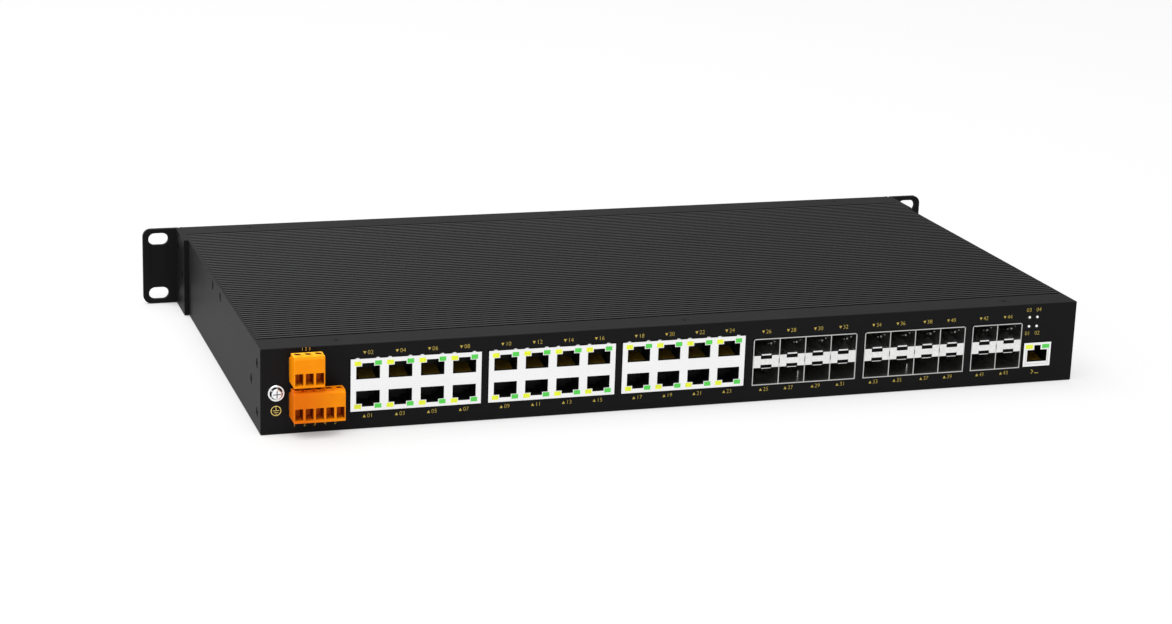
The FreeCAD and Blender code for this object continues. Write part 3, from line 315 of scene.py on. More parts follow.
# The same ink printed twice, as on earth signs: brighter, with closer cover.
BRIGHT_INK = Finish("twice_printed_epoxy_ink", "#FFE886", 0.60, specular=0.2, grain_mm=0.4,
                    relief_mm=0.004, patch_mm=1.2, tone=0.06)
# Glass-fibre laminate under solder mask: glossy deep green.
SOLDER_MASK = Finish("solder_masked_laminate", "#0E4A26", 0.30, ior=1.55, grain_mm=0.9,
                     relief_mm=0.01, patch_mm=12.0, tone=0.1)
# Transfer-moulded epoxy of chip packages: dull charcoal.
EPOXY_MOULD = Finish("moulded_epoxy", "#1C1D1F", 0.55, ior=1.55, specular=0.3, grain_mm=0.4,
                     relief_mm=0.008, patch_mm=8.0, tone=0.1)
# Silicone gap pad: soft grey and dull.
SILICONE = Finish("cast_silicone_pad", "#7E8084", 0.80, ior=1.41, specular=0.3, grain_mm=0.8,
                  relief_mm=0.02, patch_mm=6.0, tone=0.08)
# Milled aluminium of the heat spreader: bright, with cutter lines.
MILLED = Finish("milled_aluminium", "#CDCFD0", 0.34, metallic=1.0, grain=Grain.ALONG_X,
                grain_mm=0.5, relief_mm=0.006, patch_mm=20.0, tone=0.05)
# Shrink sleeve of the capacitors: glossy near-black film.
SLEEVE = Finish("pvc_shrink_sleeve", "#16171B", 0.28, ior=1.53, grain_mm=0.9, relief_mm=0.01,
                patch_mm=5.0, tone=0.1)

NODE_FINISHES: dict[str, Finish] = {
    "base_tray": POWDER_COAT, "port_panel": POWDER_COAT, "rear_panel": POWDER_COAT,
    "left_rack_ear": POWDER_COAT, "right_rack_ear": POWDER_COAT, "top_cover": ANODISED,
    "earth_nut": BRIGHT_ZINC, "relay_plug": ORANGE_NYLON, "power_plug": SHADED_NYLON,
    "relay_header": BLACK_POLYESTER, "power_header": BLACK_POLYESTER,
    "relay_pins": TIN, "power_pins": TIN, "terminal_board": SOLDER_MASK,
    "jack_lights_yellow": YELLOW_LENS, "jack_lights_green": GREEN_LENS,
    "console_shield": NICKEL, "console_housing": BLACK_POLYESTER, "console_contacts": GOLD,
    "main_board": SOLDER_MASK, "board_standoffs": BRIGHT_ZINC,
    "switch_chip": EPOXY_MOULD, "port_chips": EPOXY_MOULD, "thermal_pad": SILICONE,
    "heat_spreader": MILLED, "power_module": EPOXY_MOULD, "storage_capacitors": SLEEVE,
}
# There are three of each of these, numbered from the left.
TRIPLE_FINISHES: dict[str, Finish] = {
    "jack_shield": NICKEL, "jack_housing": BLACK_POLYESTER, "jack_contacts": GOLD,
    "module_cage": TIN, "cage_dividers": TIN,
}
NODE_FINISHES |= {
    f"{name}_{number}": finish for name, finish in TRIPLE_FINISHES.items() for number in (1, 2, 3)}


class Facing(Enum):
    """Sides of the case, each as the directions across it, up it and out of it."""

    FRONT = ((1, 0, 0), (0, 0, 1), (0, -1, 0))
    TOP = ((1, 0, 0), (0, 1, 0), (0, 0, 1))
    LEFT = ((0, -1, 0), (0, 0, 1), (-1, 0, 0))
    RIGHT = ((0, 1, 0), (0, 0, 1), (1, 0, 0))

    def at(self, spot: Spot, turn: float = 0.0) -> Matrix:
        """Place this side's axes at a spot.

        Args:
            spot: The origin in millimetres.
            turn: Turn about the outward direction, in degrees.

        Returns:
            The matrix from the side's own axes to the part's frame, in millimetres.
        """
        axes = Matrix([Vector(axis) for axis in self.value]).transposed().to_4x4()
        return Matrix.Translation(spot) @ axes @ Matrix.Rotation(math.radians(turn), 4, "Z")


def circle(radius: float, sides: int, middle: Point = (0.0, 0.0)) -> list[Point]:
    """Corners of a regular outline round a middle point."""
    steps = [2 * math.pi * k / sides for k in range(sides)]
    return [(middle[0] + radius * math.cos(a), middle[1] + radius * math.sin(a)) for a in steps]


def cross(reach: float, width: float) -> list[Point]:
    """Work out the corners of a cross recess.

    Args:
        reach: Reach of the arms from the middle.
        width: Width of an arm.

    Returns:
        The twelve corners in order.
    """
    half = width / 2
    arm = [(reach, -half), (reach, half), (half, half)]
    turns = [(1, 0, 0, 1), (0, -1, 1, 0), (-1, 0, 0, -1), (0, 1, -1, 0)]
    return [(a * x + b * y, c * x + d * y) for a, b, c, d in turns for x, y in arm]


def rectangle(low: Point, high: Point) -> list[Point]:
    """Corners of an upright rectangle."""
    return [low, (high[0], low[1]), high, (low[0], high[1])]


class Shape:
    """A mesh that is built up in millimetres and then placed as one piece."""

    # Edges under an angle are smooth, corners that are very close merge and thin slivers go.
    SHARP = math.radians(32)
    MERGE_MM = 1e-5
    SLIVER_MM = 1e-3
    # Height of a figure as a share of the font size, and the steps of its curves.
    FIGURE_SHARE = 0.70
    FIGURE_STEPS = 3

    def __init__(self) -> None:
        """Start with no faces."""
        self.mesh = bmesh.new()

    def _ring(self, frame_at: Matrix, outline: Sequence[Point], height: float) -> list[bmesh.types.BMVert]:
        """Add the corners of an outline at a height above a frame's plane."""
        return [self.mesh.verts.new(frame_at @ Vector((u, v, height))) for u, v in outline]

    def _wall(self, low: Sequence[bmesh.types.BMVert], high: Sequence[bmesh.types.BMVert]) -> None:
        """Join two rings of corners by a wall.

        Args:
            low: Corners of the wall's foot.
            high: As many corners of its top.
        """
        count = len(low)
        for k in range(count):
            following = (k + 1) % count
            self.mesh.faces.new((low[k], low[following], high[following], high[k]))

    def stack(self, frame_at: Matrix, rings: Sequence[tuple[Sequence[Point], float]],
              ends: tuple[bool, bool] = (True, True)) -> None:
        """Join outlines of equal length at rising heights into one skin.

        Args:
            frame_at: The frame that the outlines lie in.
            rings: Outlines with their heights, from the foot up.
            ends: Whether the foot and the top are closed.
        """
        made = [self._ring(frame_at, outline, height) for outline, height in rings]
        for low, high in zip(made, made[1:]):
            self._wall(low, high)
        if ends[0]:
            self.mesh.faces.new(list(reversed(made[0])))
        if ends[1]:
            self.mesh.faces.new(made[-1])

    def prism(self, frame_at: Matrix, outline: Sequence[Point], low: float, high: float) -> None:
        """Raise an outline into a straight block between two heights."""
        self.stack(frame_at, [(outline, low), (outline, high)])

    def lathe(self, frame_at: Matrix, profile: Sequence[Point], sides: int = SIDES,
              ends: tuple[bool, bool] = (True, True)) -> None:
        """Turn a profile of radius and height about the frame's outward axis."""
        self.stack(frame_at, [(circle(radius, sides), height) for radius, height in profile], ends)

    def turned_ring(self, frame_at: Matrix, profile: Sequence[Point], sides: int = SIDES) -> None:
        """Turn a closed profile about the frame's outward axis."""
        self.lathe(frame_at, [*profile, profile[0]], sides, (False, False))

    def _cover(self, frame_at: Matrix, loops: Sequence[Sequence[Point]],
               height: float) -> list[list[bmesh.types.BMVert]]:
        """Add a flat face inside the first outline and outside the others.

        Args:
            frame_at: The frame that the outlines lie in.
            loops: The face's outline and then its holes.
            height: Height of the face.

        Returns:
            The corners of each outline.
        """
        rings = [self._ring(frame_at, loop, height) for loop in loops]
        corners = [corner for ring in rings for corner in ring]
        for triple in tessellate_polygon([[Vector((u, v, 0)) for u, v in loop] for loop in loops]):
            self.mesh.faces.new([corners[k] for k in triple])
        return rings

    def pierced(self, frame_at: Matrix, outline: Sequence[Point], holes: Sequence[Sequence[Point]],
                low: float, high: float) -> None:
        """Add a plate with holes through it.

        Args:
            frame_at: The frame that the outline lies in.
            outline: Corners of the plate.
            holes: Corners of each hole.
            low: Height of the plate's foot.
            high: Height of its top.
        """
        feet, tops = (self._cover(frame_at, [outline, *holes], height) for height in (low, high))
        for foot, top in zip(feet, tops):
            self._wall(foot, top)

    def sunk(self, frame_at: Matrix, outline: Sequence[Point], hole: Sequence[Point], top: float,
             depth: float) -> None:
        """Close the top of a skin by a face with one blind hole.

        Args:
            frame_at: The frame that the outline lies in.
            outline: Corners of the skin's top.
            hole: Corners of the hole.
            top: Height of the skin's top.
            depth: Depth of the hole.
        """
        rim = self._cover(frame_at, [outline, hole], top)[1]
        floor = self._ring(frame_at, hole, top - depth)
        self._wall(floor, rim)
        self.mesh.faces.new(floor)

    def lettering(self, words: str, frame_at: Matrix, height: float, thickness: float,
                  lean: float = 0.0) -> None:
        """Add plain numbers in a solid outline, centred on the frame's origin.

        Args:
            words: What is printed.
            frame_at: The frame that it is printed on.
            height: Height of a figure in millimetres.
            thickness: Thickness of the ink in millimetres.
            lean: How much thinner the strokes are on each side, in millimetres.
        """
        curve = bpy.data.curves.new("figures", "FONT")
        curve.body = words
        curve.align_x = curve.align_y = "CENTER"
        curve.size = height / self.FIGURE_SHARE
        curve.extrude = thickness / 2
        curve.offset = -lean
        curve.resolution_u = self.FIGURE_STEPS
        holder = bpy.data.objects.new("figures", curve)
        flat = bpy.data.meshes.new_from_object(holder)
        flat.transform(frame_at @ Matrix.Translation((0, 0, thickness / 2)))
        self.mesh.from_mesh(flat)
        bpy.data.objects.remove(holder)
        bpy.data.curves.remove(curve)
        bpy.data.meshes.remove(flat)

    def place(self, name: str, finish: Finish, slot: str, replaced: Sequence[str] = ()) -> None:
        """Turn the faces into a piece that rides on the part.

        Args:
            name: The piece's name.
            finish: Its surface.
            slot: The record's material slot; it is not used.
            replaced: Solids that it stands for.
        """
        bmesh.ops.remove_doubles(self.mesh, verts=self.mesh.verts, dist=self.MERGE_MM)
        bmesh.ops.dissolve_degenerate(self.mesh, dist=self.SLIVER_MM, edges=self.mesh.edges)
        bmesh.ops.recalc_face_normals(self.mesh, faces=self.mesh.faces)
        for edge in self.mesh.edges:
            edge.smooth = edge.is_manifold and edge.calc_face_angle(math.pi) < self.SHARP
        for face in self.mesh.faces:
            face.smooth = True
        bmesh.ops.scale(self.mesh, vec=(MM, MM, MM), verts=self.mesh.verts)
        data = bpy.data.meshes.new(name)
        self.mesh.to_mesh(data)
        self.mesh.free()
        data.materials.append(finish.make())
        piece = bpy.data.objects.new(name, data)
        bpy.context.scene.collection.objects.link(piece)
        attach(piece, ROOT)
        if replaced:
            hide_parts(*replaced)
        LOG.info("piece %s, %d faces", name, len(data.polygons))


def dress(names: Iterable[str]) -> None:
    """Give solids their finish.

    Args:
        names: The solids.
    """
    for name in names:
        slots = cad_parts[name].data.materials
        slots.clear()
        slots.append(NODE_FINISHES[name].make())


def soften(names: Iterable[str], width_mm: float) -> None:
    """Break the sharp edges of solids by modifiers, as a press or mould leaves them.

    Args:
        names: The solids.
        width_mm: Width of the broken edge.
    """
    for name in names:
        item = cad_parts[name]
        weld = item.modifiers.new("weld", "WELD")
        weld.merge_threshold = WELD_MM * MM
        bevel = item.modifiers.new("edges", "BEVEL")
        bevel.width = width_mm * MM
        bevel.segments = EDGE_FACETS
        bevel.limit_method = "ANGLE"
        bevel.angle_limit = EDGE_ANGLE
        normals = item.modifiers.new("normals", "WEIGHTED_NORMAL")
        normals.keep_sharp = True


@dataclass
class ContactComb:
    """The sloped comb that a jack's contact wires lie on."""

    start: float = 2.4
    back: float = 11.95
    rise: float = 1.95
    half_width: float = 4.3

    def add(self, shape: Shape, spot: Spot, row: int) -> None:
        """Add one comb to a mesh.

        Args:
            shape: The mesh that gets it.
            spot: Middle of the plug opening's floor at the jack's face.
            row: 1 where the wires rise from the floor, and -1 where they hang from the roof.
        """
        slope = [(self.start, 0.0), (self.back, 0.0), (self.back, self.rise * row)]
        shape.prism(Facing.RIGHT.at(spot), slope, -self.half_width, self.half_width)


@dataclass
class Case:
    """Tray, lid and panels, and the flat screws that hold them."""

    half_width: float = 220.0
    half_depth: float = 122.5
    height: float = 43.6
    wall: float = 1.5
    edge: float = 0.12
    ear_sheet: float = 2.5
    head_radius: float = 2.35
    head_sides: int = SIDES
    head_floor: float = 0.2
    head_sunk: float = 0.25
    cover_sunk: float = 0.05
    cross_reach: float = 1.25
    cross_arm: float = 0.525
    recess: float = 0.6
    strip_x: float = 181.0
    strip_in: float = 8.0
    strip_turn: float = 20.0
    wall_turn: float = 3.0
    lid_end: Point = (11.45, 39.3)
    lid_end_gap: float = 0.15
    seal_in: float = 17.0
    seal_drops: Point = (1.4, 0.03)
    fix_near: float = 8.0
    fix_far: float = 23.2
    fix_rise: float = 12.45
    folded: tuple[str, ...] = ("base_tray", "port_panel", "rear_panel")
    lid: str = "top_cover"

    def ear_fixings(self, end: int) -> list[Point]:
        """Find the three ear fixings at one end of a side.

        Args:
            end: -1 at the port panel, and 1 at the rear.

        Returns:
            Middles of the fixings, as (y, z).
        """
        middle = self.height / 2
        near, far = end * (self.half_depth - self.fix_near), end * (self.half_depth - self.fix_far)
        return [(near, middle + self.fix_rise), (near, middle - self.fix_rise), (far, middle)]

    def screws(self, name: str, frames: Iterable[Matrix], finish: Finish, sunk: float) -> None:
        """Build one set of flat screws with cross recesses in place of its solids.

        Args:
            name: The set's solids.
            frames: Where the heads' rims lie.
            finish: The screws' surface.
            sunk: How far the heads lie below their rims.
        """
        shape = Shape()
        outline = circle(self.head_radius, self.head_sides)
        hole = cross(self.cross_reach, self.cross_arm)
        foot = -sunk - self.recess - self.head_floor
        for at in frames:
            shape.stack(at, [(outline, foot), (outline, -sunk)], (True, False))
            shape.sunk(at, outline, hole, -sunk, self.recess)
        shape.place(name + "_heads", finish, "screw_black", [name])

    def end_seals(self) -> None:
        """Fill the narrow gap at each end of the lid with a seal that lies just below its crowns."""
        shape = Shape()
        at = Facing.TOP.at((0, 0, 0))
        reach = self.half_depth - self.seal_in
        inner = self.half_width - self.wall
        low, high = (self.height - drop for drop in self.seal_drops)
        for side in (-1, 1):
            ends = sorted((side * inner, side * (inner - self.lid_end_gap)))
            shape.prism(at, rectangle((ends[0], -reach), (ends[1], reach)), low, high)
        shape.place("lid_end_seals", POWDER_COAT, "case_paint")

    def build(self) -> None:
        """Dress the sheets and build the seals and the screws, whose crosses stand at odd angles."""
        dress((*self.folded, self.lid))
        soften(self.folded, self.edge)
        self.end_seals()
        strip_y = self.half_depth - self.strip_in
        strips = [
            Facing.TOP.at((x, y, self.height), self.strip_turn + x)
            for y in (-strip_y, strip_y) for x in (-self.strip_x, 0.0, self.strip_x)]
        walls, ears = [], []
        lid_ends = [(-self.lid_end[0], self.lid_end[1]), self.lid_end]
        for side, sign in ((Facing.LEFT, -1), (Facing.RIGHT, 1)):
            wall, ear = sign * self.half_width, sign * (self.half_width + self.ear_sheet)
            for y, z in self.ear_fixings(-1) + lid_ends:
                walls.append(side.at((wall, y, z), self.wall_turn * y))
            for y, z in self.ear_fixings(1):
                ears.append(side.at((ear, y, z), self.wall_turn * y))
        self.screws("cover_screws", strips, BLACK_OXIDE, self.cover_sunk)
        self.screws("side_screws", walls, BLACK_ZINC_AND_SHADE, self.head_sunk)
        self.screws("ear_screws", ears, BLACK_ZINC_AND_SHADE, self.head_sunk)


@dataclass
class RackEars:
    """The two angle brackets at the rack end."""

    nodes: tuple[str, ...] = ("left_rack_ear", "right_rack_ear")
    edge: float = 0.15

    def build(self) -> None:
        """Dress the ears and break their edges."""
        dress(self.nodes)
        soften(self.nodes, self.edge)


@dataclass
class EarthTerminal:
    """Pan-head earth screw on a washer with inner teeth, and the earth sign below it.

    A tooth is its tip's radius, its width and its top. The recess is its reach, width and depth, and the
    recess shade margin is how much less those of the dark cross that paints the shade in it are.
    """

    spot: Spot = (-212.3, -122.5, 21.05)
    ring: Point = (3.15, 4.1)
    ring_sheet: float = 0.8
    ring_edge: Point = (0.15, 0.2)
    ring_sides: int = 48
    teeth: int = 5
    tooth: Spot = (2.05, 0.55, 0.35)
    tooth_foot: float = 0.02
    tooth_lap: float = 0.1
    tooth_turn: float = 78.0
    shank_radius: float = 1.9
    shank_depth: float = 5.0
    head_radius: float = 2.6
    head_top: float = 2.8
    head_edge: float = 0.55
    head_foot: Point = (0.1, 0.2)
    head_steps: int = 6
    sides: int = 40
    recess: Spot = (1.9, 0.45, 1.0)
    # The dark cross paints the shade in the screw's cross recess.
    insert: Spot = (0.02, 0.04, 0.01)
    insert_sunk: float = 0.2
    sign_spot: Spot = (-212.3, -122.5, 12.0)
    sign_radius: float = 2.55
    line: float = 0.31
    bar: float = 0.25
    stem: Point = (0.1, 2.25)
    rungs: tuple[Point, ...] = ((1.6, 0.1), (1.0, -0.85), (0.4, -1.65))
    ink: float = 0.03

    def washer(self) -> None:
        """Turn the washer's ring and set its teeth, between which the dark panel shows."""
        shape = Shape()
        inner, outer = self.ring
        top = self.ring_sheet
        edge, rim = self.ring_edge
        profile = [
            (inner, 0.0), (outer, 0.0), (outer, top - rim), (outer - edge, top), (inner + edge, top),
            (inner, top - edge)]
        shape.turned_ring(Facing.FRONT.at(self.spot), profile, self.ring_sides)
        tip, width, sheet = self.tooth
        outline = rectangle((tip, -width / 2), (inner + self.tooth_lap, width / 2))
        for k in range(self.teeth):
            at = Facing.FRONT.at(self.spot, 360 * k / self.teeth + self.tooth_turn)
            shape.prism(at, outline, self.tooth_foot, sheet)
        shape.place("earth_tooth_washer", BRIGHT_ZINC, "earth_steel", ["earth_washer"])

    def screw(self) -> None:
        """Turn the domed head, sink its cross recess and paint the shade in that with a dark cross."""
        shape = Shape()
        at = Facing.FRONT.at(self.spot)
        reach, width, depth = self.recess
        low, top, edge = self.tooth[2], self.head_top, self.head_edge
        crown = self.head_radius - edge
        profile = [
            (self.shank_radius, -self.shank_depth), (self.shank_radius, low),
            (self.head_radius - self.head_foot[0], low), (self.head_radius, low + self.head_foot[1])]
        for k in range(self.head_steps + 1):
            angle = math.pi / 2 * k / self.head_steps
            profile.append((crown + edge * math.cos(angle), top - edge + edge * math.sin(angle)))
        shape.lathe(at, profile, self.sides, (True, False))
        shape.sunk(at, circle(crown, self.sides), cross(reach, width), top, depth)
        shape.place("earth_screw_head", BRIGHT_ZINC, "earth_steel", ["earth_screw"])
        floor = Shape()
        outline = cross(reach - self.insert[0], width - self.insert[1])
        floor.prism(at, outline, top - depth + self.insert[2], top - self.insert_sunk)
        floor.place("earth_screw_recess_shade", BLACK_ZINC_AND_SHADE, "earth_steel")

    def sign(self) -> None:
        """Print the earth sign: a ring, a stem and three bars."""
        shape = Shape()
        at = Facing.FRONT.at(self.sign_spot)
        inside = circle(self.sign_radius - self.line, self.sides)
        shape.pierced(at, circle(self.sign_radius, self.sides), [inside], 0.0, self.ink)
        half_bar = self.bar / 2
        bars = [rectangle((-half_bar, self.stem[0]), (half_bar, self.stem[1]))]
        for half, height in self.rungs:
            bars.append(rectangle((-half, height - half_bar), (half, height + half_bar)))
        for outline in bars:
            shape.prism(at, outline, 0.0, self.ink)
        shape.place("earth_sign", BRIGHT_INK, "case_paint")

    def build(self) -> None:
        """Dress the nut and build the washer, screw and sign."""
        dress(("earth_nut",))
        self.washer()
        self.screw()
        self.sign()


@dataclass
class TerminalPlug:
    """One orange plug with its screw wells, clamp screws and wire entries.

    Collar, well lining and clamp screw are profiles of radius and height. The clamp screw's slot is half its
    length, half its width and its depth. A clamp's edge is taken off across, up and along.
    """

    name: str
    poles: int
    low: float
    top_finish: Finish
    left: float = -205.8
    pitch: float = 5.08
    front: float = -134.5
    height: float = 15.4
    edge: float = 0.28
    bevel: float = 1.2
    crown: float = 8.5
    top_skin: float = 0.05
    top_hole: float = 2.0
    hole_sides: int = SIDES
    collar: tuple[Point, ...] = (
        (2.46, 0.0), (2.44, 0.35), (2.34, 0.58), (2.2, 0.7), (1.95, 0.7), (1.75, 0.5), (1.7, 0.2))
    well_back: float = 4.2
    well_depth: float = 6.5
    well_lining: tuple[Point, ...] = ((1.72, 0.35), (1.62, 0.3), (1.62, -2.0), (1.72, -2.0))
    screw: tuple[Point, ...] = ((1.6, 0.0), (1.75, 0.15), (1.75, 4.2))
    screw_sides: int = 28
    screw_turns: Point = (25.0, 40.0)
    slot: Spot = (1.35, 0.3, 0.8)
    mouth: float = 3.95
    funnel: float = 1.2
    throat: Point = (3.7, 5.6)
    throat_low: float = 1.45
    lining: float = 0.08
    lining_in: float = 0.12
    mouth_gap: float = 0.03
    throat_gap: float = 0.01
    rear_gap: float = 0.05
    floor_gap: float = 0.02
    clamp_back: float = 6.5
    clamp_depth: float = 4.0
    clamp_edge: Spot = (0.3, 0.4, 0.3)

    def middles(self) -> list[float]:
        """Middles of the poles, across."""
        return [self.left + (k + 0.5) * self.pitch for k in range(self.poles)]

    def tops(self) -> None:
        """Lay the top in its finish, painted lighter on the relay plug and with painted shade on the power
        plug, and raise a rounded collar round each screw well.
        """
        shape = Shape()
        top = Facing.TOP.at((self.left, self.front, self.low + self.height))
        wells = [(x - self.left, self.well_back) for x in self.middles()]
        plate = rectangle((0.0, self.bevel), (self.poles * self.pitch, self.crown))
        holes = [circle(self.top_hole, self.hole_sides, well) for well in wells]
        shape.pierced(top, plate, holes, 0.0, self.top_skin)
        for well in wells:
            shape.turned_ring(top @ Matrix.Translation((*well, 0.0)), self.collar)
        shape.place(f"{self.name}_plug_top", self.top_finish, "plug_orange")

    def linings(self) -> None:
        """Line the screw wells, and the side walls of the wire entries, with painted shade."""
        shape = Shape()
        mouth, throat = self.mouth / 2 - self.mouth_gap, self.throat[0] / 2 - self.throat_gap
        sheet, start, rear = self.lining, self.lining_in, self.clamp_back - self.rear_gap
        wall = [
            (mouth, start), (throat, self.funnel), (throat, rear), (throat - sheet, rear),
            (throat - sheet, self.funnel), (mouth - sheet, start)]
        for x in self.middles():
            well = Facing.TOP.at((x, self.front + self.well_back, self.low + self.height))
            shape.turned_ring(well, self.well_lining)
            entry = Facing.TOP.at((x, self.front, self.low + self.throat_low))
            for side in (-1, 1):
                outline = [(side * u, v) for u, v in wall]
                shape.prism(entry, outline, self.floor_gap, self.throat[1] - self.floor_gap)
        shape.place(f"{self.name}_plug_shade_linings", ENTRY_SHADE_NYLON, "plug_orange")

    def clamp_screws(self) -> None:
        """Build the slotted clamp screws at the bottom of the wells."""
        shape = Shape()
        foot = self.low + self.height - self.well_depth
        radius, top = self.screw[-1]
        reach, half, depth = self.slot
        slot = rectangle((-reach, -half), (reach, half))
        first, step = self.screw_turns
        for k, x in enumerate(self.middles()):
            at = Facing.TOP.at((x, self.front + self.well_back, foot), first + step * k)
            shape.lathe(at, self.screw, self.screw_sides, (True, False))
            shape.sunk(at, circle(radius, self.screw_sides), slot, top, depth)
        shape.place(f"{self.name}_slotted_screws", BRIGHT_ZINC, "clamp_steel", [f"{self.name}_clamp_screws"])

    def clamps(self) -> None:
        """Close the inner end of each wire entry with a pressed clamp."""
        shape = Shape()
        wide, tall = self.throat[0] / 2, self.throat[1] / 2
        across, up, along = self.clamp_edge
        back = rectangle((-wide, -tall), (wide, tall))
        front = rectangle((across - wide, up - tall), (wide - across, tall - up))
        for x in self.middles():
            at = Facing.FRONT.at((x, self.front + self.clamp_back, self.low + self.throat_low + tall))
            shape.stack(at, [(back, -self.clamp_depth), (back, -along), (front, 0.0)])
        shape.place(f"{self.name}_clamp_jaws", COPPER_ALLOY, "clamp_steel", [f"{self.name}_wire_clamps"])

    def build(self) -> None:
        """Dress the plug's solids and add what is moulded on it and set in it."""
        solids = [f"{self.name}_{part}" for part in ("plug", "header", "pins")]
        dress(solids)
        soften(solids[:1], self.edge)
        self.tops()
        self.linings()
        self.clamp_screws()
        self.clamps()


RELAY_PLUG = TerminalPlug("relay", 3, 26.4, TOP_LIT_NYLON)
POWER_PLUG = TerminalPlug("power", 5, 8.65, SHADED_NYLON)


@dataclass
class JackBlocks:
    """Three stacked jack blocks with their contact springs and lights.

    A spring's tip is its share of the spring's section and its length.
    """

    first: float = -142.5
    pitch: float = 70.0
    blocks: int = 3
    columns: int = 4
    jack_pitch: float = 16.27
    face: float = -123.3
    foot: float = 9.2
    top: float = 36.0
    jack_near: float = 3.0
    lens_offset: float = 5.1
    spring_width: float = 2.2
    spring_rise: float = 0.6
    spring_reach: float = 5.0
    spring_tip: Point = (0.8, 0.25)
    spring_in: float = 0.35
    spring_sunk: float = 0.05
    spring_steps: int = 8
    comb: ContactComb = field(default_factory=ContactComb)

    def all_columns(self) -> list[float]:
        """Work out where the jacks of every block stand.

        Returns:
            Their middles, across.
        """
        offsets = [(k - (self.columns - 1) / 2) * self.jack_pitch for k in range(self.columns)]
        middles = [self.first + block * self.pitch for block in range(self.blocks)]
        return [middle + offset for middle in middles for offset in offsets]

    def springs(self) -> None:
        """Bow a shield spring out of each block's top over every light."""
        shape = Shape()
        half, (share, length) = self.spring_width / 2, self.spring_tip
        angles = [math.pi * k / self.spring_steps for k in range(self.spring_steps + 1)]
        arch = [(half * math.cos(a), self.spring_rise * math.sin(a)) for a in angles]
        tip = [(share * u, share * v) for u, v in arch]
        y, z = self.face + self.spring_in, self.top - self.spring_sunk
        for x in self.all_columns():
            for side in (-1, 1):
                at = Facing.FRONT.at((x + side * self.lens_offset, y, z))
                shape.stack(at, [(arch, -self.spring_reach), (arch, -length), (tip, 0.0)])
        shape.place("shield_springs", NICKEL, "shield_nickel")

    def combs(self) -> None:
        """Set a contact comb under the wires of every jack."""
        shape = Shape()
        middle = (self.foot + self.top) / 2
        for x in self.all_columns():
            for row in (1, -1):
                self.comb.add(shape, (x, self.face, middle + row * self.jack_near), row)
        shape.place("jack_contact_combs", AMBER_NYLON, "housing_black")

    def build(self) -> None:
        """Dress the blocks' solids and add the springs and combs."""
        for number in range(1, self.blocks + 1):
            dress(f"jack_{part}_{number}" for part in ("shield", "housing", "contacts"))
        dress(("jack_lights_yellow", "jack_lights_green"))
        self.springs()
        self.combs()


@dataclass
class ConsoleJack:
    """The single console jack, with the pressed seam round its opening."""

    middle: float = 198.3
    face: float = -123.3
    low: float = 9.2
    width: float = 15.9
    inset: float = 1.25
    seam_top: float = 9.5
    opening_low: float = 2.6
    seam: float = 0.16
    proud: float = 0.015
    comb: ContactComb = field(default_factory=ContactComb)

    def build(self) -> None:
        """Dress the jack's solids, press the seam and set the contact comb."""
        dress(("console_shield", "console_housing", "console_contacts"))
        shape = Shape()
        half = self.width / 2 - self.inset
        inner = half - self.seam
        low, top = self.inset, self.seam_top
        outline = [
            (-half, top), (-half, low), (half, low), (half, top), (inner, top),
            (inner, low + self.seam), (-inner, low + self.seam), (-inner, top)]
        shape.prism(Facing.FRONT.at((self.middle, self.face, self.low)), outline, 0.0, self.proud)
        shape.place("console_seam", SEAM, "shield_nickel")
        comb = Shape()
        self.comb.add(comb, (self.middle, self.face, self.low + self.opening_low), 1)
        comb.place("console_contact_comb", AMBER_NYLON, "housing_black")


